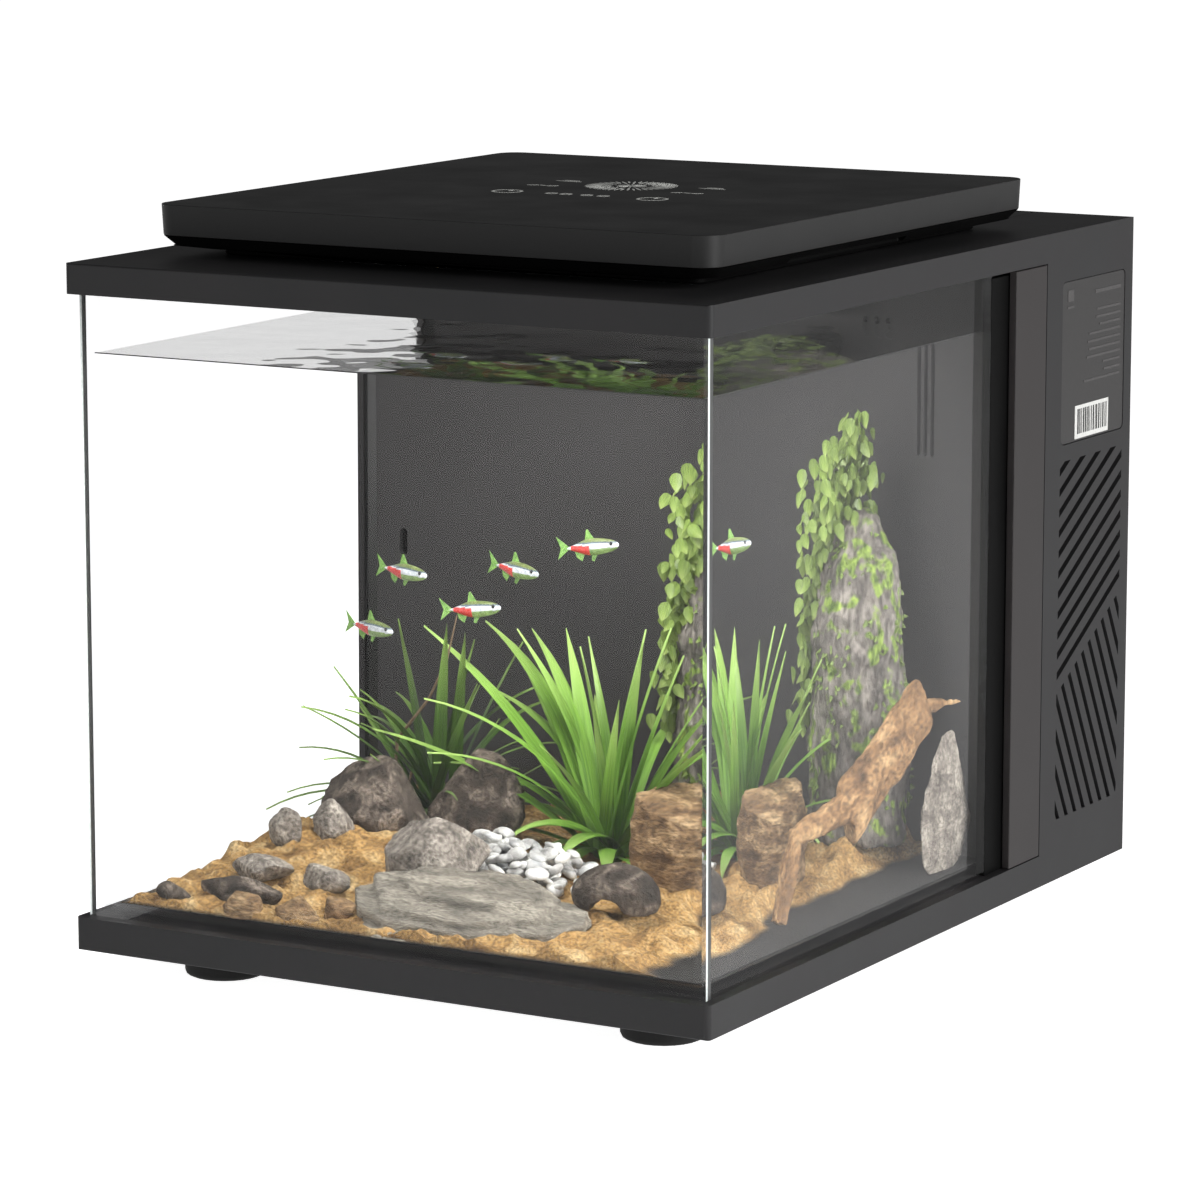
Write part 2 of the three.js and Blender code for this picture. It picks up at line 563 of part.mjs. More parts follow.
function addLid() {
  addPart("lid_shell", lidShell(), LID_ABS);
  addPart("lid_base", lidBase(), LID_ABS);
  addPart("touch_board", slab([-60, -60, 318.2], [60, 40, 319.8]), BOARD_GREEN);
  addPart("led_board", slab([-LAMP.x + 6, LAMP.y0 + 6, 311], [LAMP.x - 6, LAMP.y1 - 6, 313]), ALUMINIUM);
  addPart("led_lens", slab([-LAMP.x + GAP, LAMP.y0 + GAP, 304.2], [LAMP.x - GAP, LAMP.y1 - GAP, 306.2], 2.6),
    LENS_WHITE);
  addPart("lid_collar", lidCollar(), FRAME_ABS);
  addPart("hinge_bracket", hingeBracket(), LID_ABS);
  addPart("hinge_pin", rod("x", [HINGE_Y, HINGE_Z], PIN_RADIUS, -60, 60, 12), STEEL);
}

// ---- scape ----
const BED = { x: 138, y0: -182, y1: BACK_WALL_Y - GAP, floor: TANK_FLOOR + GAP, cells: 10 };

// Height of the sand surface: low at the front glass, higher towards the rear, with a soft mound.
function sandHeight(x, y) {
  const back = (y - BED.y0) / (BED.y1 - BED.y0);
  const mound = 4 * Math.exp(-((x + 70) ** 2 + (y + 40) ** 2) / 3200);
  return 35 + 10 * Math.min(1, back * 1.3) + mound;
}

// The bed itself, or with a raise and a depth the tool that trims what stands on it.
function sandSolid(raise = 0, depth = 0) {
  const { x, y0, y1, floor, cells } = BED;
  const geometry = new THREE.BoxGeometry(2 * x, y1 - y0, 1, cells, cells, 1);
  geometry.translate(0, (y0 + y1) / 2, 0);
  const position = geometry.attributes.position;
  for (let i = 0; i < position.count; i += 1) {
    const top = position.getZ(i) > 0;
    position.setZ(i, top ? sandHeight(position.getX(i), position.getY(i)) + raise : floor - depth);
  }
  return solid(geometry);
}

// A rough stone: a faceted ball pushed in and out by a few waves, flattened onto the sand.
function stone(centre, size, seed, turn = 0) {
  const geometry = new THREE.IcosahedronGeometry(1, 1);
  const position = geometry.attributes.position;
  for (let i = 0; i < position.count; i += 1) {
    const p = new THREE.Vector3().fromBufferAttribute(position, i);
    const wave = Math.sin(3.1 * p.x + seed) + Math.sin(4.3 * p.y + 2 * seed) + Math.sin(3.7 * p.z + 3 * seed);
    p.multiplyScalar(1 - 0.06 * wave);
    position.setXYZ(i, p.x * size[0], p.y * size[1], p.z * size[2]);
  }
  geometry.rotateZ(turn);
  geometry.translate(...centre);
  return solid(geometry).subtract(sandSolid(GAP, 60));
}

// A turned shape standing on the sand, from radius and height pairs.
function standing(x, y, profile, sides = 12) {
  const low = profile[0][1];
  const high = profile[profile.length - 1][1];
  const points = [[0, low], ...profile, [0, high]].map(([r, z]) => new THREE.Vector2(r, z));
  const geometry = new THREE.LatheGeometry(points, sides);
  geometry.rotateX(Math.PI / 2);
  geometry.translate(x, y, 0);
  return solid(geometry).subtract(sandSolid(GAP, 60));
}

function branch(points, radius, steps) {
  const path = new THREE.CatmullRomCurve3(points.map((p) => new THREE.Vector3(...p)));
  const shape = polygon(circlePoints([0, 0], radius, 8));
  const geometry = new THREE.ExtrudeGeometry(shape, { steps, extrudePath: path, bevelEnabled: false });
  return solid(geometry).subtract(sandSolid(GAP, 60));
}

function addScape() {
  addPart("sand_bed", sandSolid(), SAND);
  addPart("slate_slab", stone([18, -146, 36], [48, 36, 13], 1.3, 0.35), ROCK);
  addPart("grey_rock", stone([-18, -108, 48], [24, 17, 22], 2.1, 0.5), ROCK);
  addPart("left_rock", stone([-78, -48, 52], [28, 22, 29], 0.6, -0.3), ROCK);
  addPart("log_stump", stone([64, -42, 62], [20, 20, 26], 4.2), WOOD);
  addPart("pillar_rock", standing(60, 38, [[31, 44], [30, 70], [28, 110], [24, 150], [15, 175], [6, 188]]), ROCK);
  addPart("driftwood", branch([[128, -107, 44], [128, -60, 72], [128, 0, 92], [128, 60, 103]], 6, 12), WOOD);
  addPart("sword_plant", standing(22, -22, [[6, 44], [8, 78], [22, 95], [40, 112], [34, 130], [6, 139]]), LEAF);
  addPart("fern_plant", standing(-66, -2, [[6, 44], [8, 74], [24, 88], [40, 104], [32, 122], [6, 130]]), LEAF);
  addPart("ivy_plant", standing(22, 24, [[5, 120], [8, 138], [11, 165], [18, 190], [20, 224], [8, 238]]), LEAF);
}

addFrame();
addFeet();
addTank();
addWaterSystem();
addCassette();
addAirBay();
addLid();
addScape();

export default aquarium;
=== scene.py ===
# %% [markdown]
# # A desktop aquarium in a C-shaped frame
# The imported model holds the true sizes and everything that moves. This lesson gives it its looks:
# softened edges on the mouldings, glass and water, and a planted scape with five small fish.

# %% Load the frame
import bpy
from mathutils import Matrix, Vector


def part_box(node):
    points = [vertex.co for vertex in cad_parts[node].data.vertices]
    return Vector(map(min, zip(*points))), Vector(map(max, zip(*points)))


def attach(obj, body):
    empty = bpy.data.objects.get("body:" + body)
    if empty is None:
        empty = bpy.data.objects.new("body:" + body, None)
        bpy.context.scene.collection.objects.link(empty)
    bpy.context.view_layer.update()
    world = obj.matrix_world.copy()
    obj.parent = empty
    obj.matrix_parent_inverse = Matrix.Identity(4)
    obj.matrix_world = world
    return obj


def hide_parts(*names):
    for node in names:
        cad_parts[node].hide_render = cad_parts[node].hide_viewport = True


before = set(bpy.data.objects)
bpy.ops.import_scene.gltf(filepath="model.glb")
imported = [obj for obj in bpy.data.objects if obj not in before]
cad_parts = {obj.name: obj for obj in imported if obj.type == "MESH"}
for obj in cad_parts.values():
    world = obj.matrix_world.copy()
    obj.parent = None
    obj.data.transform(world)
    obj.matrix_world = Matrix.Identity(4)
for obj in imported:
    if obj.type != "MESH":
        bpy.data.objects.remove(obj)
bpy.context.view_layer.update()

# %% [markdown]
# Small helpers come first. Everything is measured in metres, so a helper turns millimetres round.
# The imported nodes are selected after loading, so each step starts by deselecting.

# %% Helpers for selecting, placing and finishing a piece
import math
import random
import bpy
import bmesh
from mathutils import Matrix, Vector, noise

MM = 0.001


def deselect():
    """Leaves edit mode and deselects everything."""
    if bpy.context.object and bpy.context.object.mode != "OBJECT":
        bpy.ops.object.mode_set(mode="OBJECT")
    bpy.ops.object.select_all(action="DESELECT")


def pick(*pieces):
    """Selects only these pieces and makes the first one active."""
    deselect()
    for piece in pieces:
        piece.select_set(True)
    bpy.context.view_layer.objects.active = pieces[0]


def fresh(add_shape, **settings):
    """Deselects all, calls the operator that adds a basic shape and returns the new object."""
    deselect()
    add_shape(**settings)
    return bpy.context.object


def edit_all(piece):
    """Enters edit mode on one piece with everything in it selected."""
    pick(piece)
    bpy.ops.object.mode_set(mode="EDIT")
    bpy.ops.mesh.select_all(action="SELECT")


def leave_edit():
    bpy.ops.object.mode_set(mode="OBJECT")


def apply_modifiers(piece):
    pick(piece)
    for modifier in list(piece.modifiers):
        bpy.ops.object.modifier_apply(modifier=modifier.name)


def place(piece, spot_mm=(0, 0, 0), turn_deg=(0, 0, 0), size=(1, 1, 1)):
    """Scales, turns and moves a piece, and writes that into its mesh."""
    piece.scale = size
    piece.rotation_euler = [math.radians(angle) for angle in turn_deg]
    piece.location = Vector(spot_mm) * MM
    pick(piece)
    bpy.ops.object.transform_apply(location=True, rotation=True, scale=True)
    return piece


def join(pieces):
    """Makes one object of several."""
    pick(*pieces)
    bpy.ops.object.join()
    return bpy.context.object


def duplicate(piece):
    """A copy with its own mesh."""
    copy = piece.copy()
    copy.data = piece.data.copy()
    bpy.context.scene.collection.objects.link(copy)
    return copy


def discard(piece):
    bpy.data.objects.remove(piece, do_unlink=True)


def smooth(piece, angle=35):
    pick(piece)
    bpy.ops.object.shade_smooth_by_angle(angle=math.radians(angle))


def outward(piece):
    """Turns every face outwards after merging doubled points."""
    edit_all(piece)
    bpy.ops.mesh.remove_doubles(threshold=1e-6)
    bpy.ops.mesh.normals_make_consistent(inside=False)
    leave_edit()


def settle(piece, name, body, slot, *materials, stands_for=()):
    """Names a finished piece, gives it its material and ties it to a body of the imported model."""
    apply_modifiers(piece)
    piece.name = name
    piece.data.name = name
    if materials:
        piece.data.materials.clear()
        for material in materials:
            piece.data.materials.append(material)
    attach(piece, body)
    if stands_for:
        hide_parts(*stands_for)
    print(name, "has", len(piece.data.polygons), "faces")
    return piece


# %% [markdown]
# The camera stands to the right of the front, a little above the lid, with a long lens. A long
# lens keeps the upright edges nearly parallel, as in a catalogue view.

# %% Camera
CAMERA_SPOT = (1.0711, -1.8875, 0.5263)
CAMERA_PITCH = 80.03
CAMERA_YAW = 29.83
bpy.ops.object.camera_add(location=CAMERA_SPOT)
camera = bpy.context.object
camera.rotation_euler = (math.radians(CAMERA_PITCH), 0, math.radians(CAMERA_YAW))
camera.data.lens = 153.6
camera.data.sensor_width = 36
bpy.context.scene.camera = camera
print("camera lens", camera.data.lens)

# %% [markdown]
# Materials need two helpers: one turns a paint-chart colour into the linear values that the
# renderer works with, the other adds a node with its settings and links.

# %% Helpers for materials
def colour(text):
    """An sRGB hex colour as linear red, green, blue and alpha."""
    channels = [int(text[k:k + 2], 16) / 255 for k in (1, 3, 5)]
    linear = [c / 12.92 if c <= 0.04045 else ((c + 0.055) / 1.055) ** 2.4 for c in channels]
    return (*linear, 1.0)


def add(tree, kind, inputs=None, **settings):
    """Adds a shader node. A socket given as an input is linked, any other value is set."""
    node = tree.nodes.new("ShaderNode" + kind)
    for key, value in settings.items():
        setattr(node, key, value)
    for socket, value in (inputs or {}).items():
        if isinstance(value, bpy.types.NodeSocket):
            tree.links.new(value, node.inputs[socket])
        else:
            node.inputs[socket].default_value = value
    return node


def start_material(name):
    """An empty material, its node tree, its output node and its Object coordinates."""
    material = bpy.data.materials.new(name)
    material.use_nodes = True
    tree = material.node_tree
    tree.nodes.clear()
    output = add(tree, "OutputMaterial")
    place_node = add(tree, "TexCoord")
    return material, tree, output, place_node.outputs["Object"]


def finish(material, tree, output, shader):
    """Links the last shader to the output and hands the material back."""
    tree.links.new(shader.outputs[0], output.inputs["Surface"])
    return material


def ramp(tree, factor, *stops):
    """A colour ramp from pairs of position and hex colour."""
    node = add(tree, "ValToRGB", {"Fac": factor})
    elements = node.color_ramp.elements
    while len(elements) < len(stops):
        elements.new(0.5)
    for element, (position, text) in zip(elements, stops):
        element.position = position
        element.color = colour(text)
    return node.outputs["Color"]


def mix_colour(tree, kind, factor, below, above):
    """Lays one colour over another. The factor is a number or a black and white pattern."""
    node = add(tree, "Mix", data_type="RGBA", blend_type=kind)
    sockets = {"factor": node.inputs[0], "below": node.inputs[6], "above": node.inputs[7]}
    for key, value in (("factor", factor), ("below", below), ("above", above)):
        if isinstance(value, bpy.types.NodeSocket):
            tree.links.new(value, sockets[key])
        else:
            sockets[key].default_value = value
    return node.outputs[2]


def per_mm(size_mm):
    """The scale of a noise whose features are about this many millimetres across."""
    return 1 / (size_mm * MM)


# %% [markdown]
# ABS is moulded in a spark-eroded tool, which leaves a fine, even grain and a dull sheen. The
# grain is about 0.6 mm here, a little coarser than the real one so that it shows. Slow changes of
# tone, 40 mm across, are what handling and cooling leave on a large moulding.

# %% Moulded ABS
def moulded_abs(name, base, light, rough, grain_mm=0.6, grain_depth=0.05, gloss=0.25):
    material, tree, output, spot = start_material(name)
    cloud = add(tree, "TexNoise", {"Vector": spot, "Scale": per_mm(40), "Detail": 3})
    grain = add(tree, "TexNoise", {"Vector": spot, "Scale": per_mm(grain_mm), "Detail": 2})
    tone = ramp(tree, cloud.outputs["Fac"], (0.35, base), (0.65, light))
    sheen = add(tree, "MapRange", {"Value": cloud.outputs["Fac"], "From Min": 0.3, "From Max": 0.7,
                                   "To Min": rough - 0.03, "To Max": rough + 0.04})
    relief = add(tree, "Bump", {"Height": grain.outputs["Fac"], "Strength": grain_depth,
                                "Distance": 0.05 * MM})
    shader = add(tree, "BsdfPrincipled", {"Base Color": tone, "Roughness": sheen.outputs["Result"],
                                          "Normal": relief.outputs["Normal"], "IOR": 1.5,
                                          "Specular IOR Level": gloss})
    return finish(material, tree, output, shader)


FRAME_PLASTIC = moulded_abs("moulded ABS charcoal", "#262627", "#2A292A", 0.5)
PANEL_PLASTIC = moulded_abs("moulded ABS warm charcoal", "#2D2A2A", "#312E2E", 0.48)
LID_PLASTIC = moulded_abs("moulded ABS satin black", "#222222", "#252525", 0.46)
# The lid's top face: the touch panel, darker than the lid plastic as painted shade on a top that little
# light reaches.
LID_TOP_WITH_PAINTED_SHADE = moulded_abs("touch panel top with painted shade", "#121212", "#151515", 0.3, 0.6, 0.02, 0.03)
INNER_PLASTIC = moulded_abs("moulded ABS dark grey", "#333333", "#383838", 0.6)
WALL_PLASTIC = moulded_abs("moulded ABS tank wall", "#343333", "#383737", 0.7, 3, 0.02)
# Near black: the plastic of parts under the lid and in gaps, darkened below its own colour as painted shade.
BLACK_ABS_WITH_PAINTED_SHADE = moulded_abs("black ABS darkened as painted shade", "#070707", "#0A0A0A", 0.6, 0.6, 0.03, 0.08)
print("made", len(bpy.data.materials), "plastics")

# %% [markdown]
# Float glass is clear and almost colourless. A flat pane bends nothing, so it only lets light
# through and mirrors a little, more the flatter it is seen. Water bends light, but its index is
# set to 1.17, below the true 1.33: at the true value the scape seen through the right pane moves
# too far from where the front pane shows it. Shadow rays pass straight through, or the light
# would never reach the scape.

# %% Glass and water
def clear_solid(name, tint, ior, ripple_mm=0, ripple_depth=0, mirror_share=0.0):
    material, tree, output, spot = start_material(name)
    shader = add(tree, "BsdfPrincipled", {"Base Color": colour(tint), "Roughness": 0.0, "IOR": ior,
                                          "Transmission Weight": 1.0})
    if ripple_mm:
        wave = add(tree, "TexNoise", {"Vector": spot, "Scale": per_mm(ripple_mm), "Detail": 1})
        bump = add(tree, "Bump", {"Height": wave.outputs["Fac"], "Strength": 1.0,
                                  "Distance": ripple_depth * MM})
        tree.links.new(bump.outputs["Normal"], shader.inputs["Normal"])
        mirror = add(tree, "BsdfGlossy", {"Color": colour("#FFFFFF"), "Roughness": 0.03,
                                          "Normal": bump.outputs["Normal"]})
        shader = add(tree, "MixShader", {0: mirror_share, 1: shader.outputs["BSDF"],
                                         2: mirror.outputs["BSDF"]})
    path = add(tree, "LightPath")
    open_way = add(tree, "BsdfTransparent", {"Color": colour(tint)})
    mixed = add(tree, "MixShader", {0: path.outputs["Is Shadow Ray"], 1: shader.outputs[0],
                                    2: open_way.outputs["BSDF"]})
    return finish(material, tree, output, mixed)


def open_side(name):
    """A side of the water that lets everything through unbent, where it meets glass and sand."""
    material, tree, output, _ = start_material(name)
    way = add(tree, "BsdfTransparent")
    return finish(material, tree, output, way)


def clear_sheet(name, tint, straight_on):
    """Clear and flat, so that it bends nothing. It mirrors more the flatter it is seen."""
    material, tree, output, _ = start_material(name)
    facing = add(tree, "LayerWeight", {"Blend": 0.5}).outputs["Facing"]
    grazing = add(tree, "Math", {0: facing, 1: 5.0}, operation="POWER")
    share = add(tree, "Math", {0: grazing.outputs["Value"], 1: 0.35, 2: straight_on},
                operation="MULTIPLY_ADD")
    through = add(tree, "BsdfTransparent", {"Color": colour(tint)})
    mirror = add(tree, "BsdfGlossy", {"Color": colour("#FFFFFF"), "Roughness": 0.02})
    mixed = add(tree, "MixShader", {0: share.outputs["Value"], 1: through.outputs["BSDF"],
                                    2: mirror.outputs["BSDF"]})
    return finish(material, tree, output, mixed)


PANE_GLASS = clear_sheet("float glass", "#FEFEFE", 0.008)
CLEAR_BEAD = clear_sheet("clear silicone bead", "#FFFFFF", 0.005)
WATER_INDEX = 1.17
WATER = clear_solid("water", "#FFFFFF", WATER_INDEX)
WATER_SURFACE = clear_solid("water surface", "#FFFFFF", 1.333, 26, 1.2, 0.72)
WATER_OPEN = open_side("water against glass")


pane_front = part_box("glass_front")[0][1]


def ground_edge_with_painted_light():
    """The ground end of a pane: milky ground glass, with a painted highlight, a bright line at the front,
    and painted shade, dark grey, behind it.
    """
    material, tree, output, spot = start_material("ground glass edge with painted highlight and shade")
    grind = add(tree, "TexNoise", {"Vector": spot, "Scale": per_mm(0.8), "Detail": 2})
    parts = add(tree, "SeparateXYZ", {"Vector": spot})
    depth = add(tree, "MapRange", {"Value": parts.outputs["Y"], "From Min": pane_front + 1.2 * MM,
                                   "From Max": pane_front + 1.7 * MM})
    # Painted highlight and shade: the front 1.2 mm of the end is bright, from 1.7 mm back it is dark grey.
    bright = ramp(tree, grind.outputs["Fac"], (0.3, "#D9E2DF"), (0.7, "#F6FAF9"))
    tone = mix_colour(tree, "MIX", depth.outputs["Result"], bright, colour("#454646"))
    shader = add(tree, "BsdfPrincipled", {"Base Color": tone, "Roughness": 0.35, "IOR": 1.45})
    return finish(material, tree, output, shader)


GROUND_EDGE_PAINTED_LIGHT = ground_edge_with_painted_light()
print("made glass and water")

# %% [markdown]
# The small pieces are rubber, silicone, steel, aluminium, foam, ceramic and ink. One recipe with a
# grain in tone and relief serves them, with each one's own numbers. Rubber and foam swallow the
# light, brushed metal draws it out along one way, and silicone and ink keep a soft shine.

# %% Rubber, metal, foam, ceramic and print
def plain_finish(name, dark, light, rough, grain_mm, depth_mm, metal=0.0, coat=0.0, stretch=(1, 1, 1)):
    material, tree, output, spot = start_material(name)
    mapped = add(tree, "Mapping", {"Vector": spot, "Scale": stretch})
    grain = add(tree, "TexNoise", {"Vector": mapped.outputs["Vector"], "Scale": per_mm(grain_mm),
                                   "Detail": 4})
    tone = ramp(tree, grain.outputs["Fac"], (0.3, dark), (0.7, light))
    relief = add(tree, "Bump", {"Height": grain.outputs["Fac"], "Strength": 0.6,
                                "Distance": depth_mm * MM})
    shader = add(tree, "BsdfPrincipled", {"Base Color": tone, "Roughness": rough, "Metallic": metal,
                                          "Coat Weight": coat, "Normal": relief.outputs["Normal"]})
    return finish(material, tree, output, shader)


RUBBER = plain_finish("moulded rubber", "#0C0C0C", "#121212", 0.75, 1.2, 0.05)
SILICONE = plain_finish("black silicone bead", "#0C0C0C", "#141414", 0.35, 6, 0.05)
BRUSHED = (1, 1, 0.05)
STEEL = plain_finish("brushed stainless steel", "#A9ABAD", "#C4C6C8", 0.3, 0.5, 0.01, 1.0, stretch=BRUSHED)
ALUMINIUM = plain_finish("extruded aluminium", "#A5A8AB", "#BABDBF", 0.4, 0.6, 0.01, 1.0, stretch=BRUSHED)
BOARD = plain_finish("solder-masked circuit board", "#12492B", "#175A36", 0.35, 4, 0.05, coat=0.4)
FOAM = plain_finish("open-cell filter foam", "#1B3566", "#35599B", 0.95, 1.6, 0.5)
CERAMIC = plain_finish("porous filter ceramic", "#C9BFAE", "#EFE8DA", 0.9, 2.5, 0.4)
DIFFUSER = plain_finish("opal acrylic diffuser", "#E9EEF0", "#F7FAFB", 0.4, 8, 0.02)
LABEL_STOCK = plain_finish("printed label stock", "#1E1C1C", "#222020", 0.42, 3, 0.01)
WHITE_INK = plain_finish("white ink", "#E4E5DF", "#F4F5F0", 0.5, 1.5, 0.01)
FAINT_INK = plain_finish("grey ink", "#3D3B3B", "#454343", 0.5, 2, 0.01)
BLACK_INK = plain_finish("black ink", "#151515", "#1C1C1C", 0.5, 2, 0.01)
STICKER_PAPER = plain_finish("white label paper", "#C9C9C6", "#D6D6D3", 0.6, 1.2, 0.01)
print("materials so far", len(bpy.data.materials))

# %% [markdown]
# Every imported node keeps its shape and gets the finish of the real piece, except that the parts
# under the lid and in gaps are made near black as painted shade. The mouldings that the eye rests on
# get more: a copy whose sharp edges are rounded by half a millimetre, because a real moulding has no
# sharp edge, and the thin highlight along it makes it look real.

# %% Finishes for the imported nodes
NODE_FINISH = {
    FRAME_PLASTIC: ("fan_frame",),
    WALL_PLASTIC: ("back_wall",),
    INNER_PLASTIC: ("base_plate", "pump_housing", "pump_cover", "outlet_pipe", "filter_chamber",
                    "cassette_basket", "dc_inlet"),
    # Filter box, fan rotor and nozzle sit in gaps and recesses and get the near-black plastic, partly their
    # own black, partly painted shade.
    BLACK_ABS_WITH_PAINTED_SHADE: ("filter_box", "fan_rotor", "outlet_nozzle"),
    SILICONE: ("silicone_back_left", "silicone_back_right"),
    CLEAR_BEAD: ("silicone_front_left", "silicone_front_right"),
    STEEL: ("impeller_shaft", "heater", "hinge_pin", *(f"rear_cover_screw_{k}" for k in range(1, 5))),
    ALUMINIUM: ("heat_sink", "led_board"),
    BOARD: ("control_board", "touch_board"),
    FOAM: ("prefilter_sponge", "cassette_sponge"),
    CERAMIC: ("impeller", "cassette_media"),
    DIFFUSER: ("led_lens",),
    LABEL_STOCK: ("rating_label",),
    PANE_GLASS: ("glass_right", "glass_bottom"),
}
for material, names in NODE_FINISH.items():
    for name in names:
        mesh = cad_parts[name].data
        mesh.materials.clear()
        mesh.materials.append(material)
print("finished", sum(len(names) for names in NODE_FINISH.values()), "nodes")

# %% [markdown]
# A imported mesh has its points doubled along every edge, so the copy is merged first. Then a
# two-step bevel rounds each edge sharper than 40 degrees. Smooth shading would bend the light on
# the large faces too, so the last modifier gives them their own straight normals back.

# %% Copies with rounded edges
def merged_copy(node):
    """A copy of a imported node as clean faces: points merged, flat areas joined."""
    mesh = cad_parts[node].data.copy()
    piece = bpy.data.objects.new(node + "_moulded", mesh)
    bpy.context.scene.collection.objects.link(piece)
    edit_all(piece)
    bpy.ops.mesh.remove_doubles(threshold=2e-6)
    bpy.ops.mesh.dissolve_limited(angle_limit=math.radians(0.6))
    leave_edit()
    return piece


def soften(node, edge_mm, body, slot, material):
    """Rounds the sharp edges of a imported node's copy and shows the copy in its place."""
    piece = merged_copy(node)
    bevel = piece.modifiers.new("rounded edge", "BEVEL")
    bevel.width = edge_mm * MM
    bevel.segments = 2
    bevel.limit_method = "ANGLE"
    bevel.angle_limit = math.radians(40)
    apply_modifiers(piece)
    smooth(piece, 40)
    flat = piece.modifiers.new("large faces stay flat", "WEIGHTED_NORMAL")
    flat.keep_sharp = True
    return settle(piece, node + "_moulded", body, slot, material, stands_for=(node,))


SOFTENED = (
    ("main_frame", 0.35, "frame", "frame_abs", FRAME_PLASTIC),
    ("rear_cover", 0.5, "frame", "frame_abs", FRAME_PLASTIC),
    ("side_panel_left", 0.35, "frame", "panel_abs", PANEL_PLASTIC),
    ("side_panel_right", 0.35, "frame", "panel_abs", PANEL_PLASTIC),
    # Collar, hinge bracket and lid base are lid and frame plastic, made near black as painted shade under
    # the lid.
    ("lid_collar", 0.5, "frame", "frame_abs", BLACK_ABS_WITH_PAINTED_SHADE),
    ("hinge_bracket", 0.2, "frame", "lid_abs", BLACK_ABS_WITH_PAINTED_SHADE),
    ("cassette_cap", 0.4, "filter_cassette", "lid_abs", LID_PLASTIC),
    ("lid_base", 0.3, "lid", "lid_abs", BLACK_ABS_WITH_PAINTED_SHADE),
    ("foot_front_left", 0.5, "frame", "foot_rubber", RUBBER),
    ("foot_front_right", 0.5, "frame", "foot_rubber", RUBBER),
    ("foot_rear_left", 0.5, "frame", "foot_rubber", RUBBER),
    ("foot_rear_right", 0.5, "frame", "foot_rubber", RUBBER),
)
for entry in SOFTENED:
    soften(*entry)
shell = soften("lid_shell", 0.7, "lid", "lid_abs", LID_PLASTIC)
# The top faces take the darker touch panel material: painted shade on the lid's top.
shell.data.materials.append(LID_TOP_WITH_PAINTED_SHADE)
for face in shell.data.polygons:
    face.material_index = 1 if face.normal.z > 0.99 else 0

# %% [markdown]
# The front pane runs the full width, so its end shows at the near corner as an upright line. It is a
# copy of the imported pane whose two narrow ends are ground glass, painted bright at the front as a
# highlight and dark grey behind as shade. A black bead of silicone shows through it along the left
# edge, so the back of that strip is black.

# %% Front pane with ground ends
pane = merged_copy("glass_front")
left_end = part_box("glass_left")[0][0]
edit_all(pane)
bpy.ops.mesh.bisect(plane_co=(left_end + 0.3 * MM, 0, 0), plane_no=(1, 0, 0))
leave_edit()
settle(pane, "glass_front_pane", "frame", "clear_glass", PANE_GLASS, GROUND_EDGE_PAINTED_LIGHT, SILICONE,
       stands_for=("glass_front",))
for face in pane.data.polygons:
    face.material_index = 1 if abs(face.normal.x) > 0.9 else 0
    if face.normal.y > 0.9 and face.center.x < left_end + 0.3 * MM:
        face.material_index = 2
left_pane = merged_copy("glass_left")
settle(left_pane, "glass_left_pane", "frame", "clear_glass", PANE_GLASS, stands_for=("glass_left",))

# %% [markdown]
# The water is one closed body a hair inside the glass. Its front, right side and surface bend
# light as water does. The other sides lie against glass or sand, and let light through unbent.
# Where the surface meets the panes it creeps up the glass a little, and that rim looks dark; thin
# black strips at the water level paint that dark line.

# %% Water
_, pane_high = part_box("glass_left")
wall_low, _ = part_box("back_wall")
floor_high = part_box("glass_bottom")[1][2]
WATER_LEVEL = 263.6 * MM
WATER_GAP = 0.2 * MM
water_x = -pane_high[0] - WATER_GAP
water_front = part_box("glass_front")[1][1] + WATER_GAP
water_back = wall_low[1] - WATER_GAP
water = fresh(bpy.ops.mesh.primitive_cube_add, size=1)
water_size = (2 * water_x, water_back - water_front, WATER_LEVEL - floor_high - WATER_GAP)
middle = (0, (water_front + water_back) / 2 / MM, (WATER_LEVEL + floor_high + WATER_GAP) / 2 / MM)
place(water, middle, size=water_size)
settle(water, "water_body", "frame", "clear_glass", WATER, WATER_SURFACE, WATER_OPEN)
for face in water.data.polygons:
    if face.normal.z > 0.9:
        face.material_index = 1
    elif face.normal.z < -0.9 or face.normal.x < -0.9 or face.normal.y > 0.9:
        face.material_index = 2
# Painted dark line: thin black strips at the water level, along the front and right panes, stand in for the
# dark rim where the water meets the glass.
painted_dark_water_line = []
LINE_THICK = 0.1 * MM
LINE_HIGH = 0.5 * MM
line_z = WATER_LEVEL / MM
for spot, span in (
    ((0, water_front / MM - 0.08, line_z), (2 * water_x, LINE_THICK, LINE_HIGH)),
    ((water_x / MM + 0.08, middle[1], line_z), (LINE_THICK, water_size[1], LINE_HIGH)),
):
    painted_dark_water_line.append(place(fresh(bpy.ops.mesh.primitive_cube_add, size=1), spot, size=span))
settle(join(painted_dark_water_line), "painted_dark_water_line", "frame", "clear_glass", SILICONE)
print("water holds about", round(water_size[0] * water_size[1] * water_size[2] * 1000, 1), "litres")
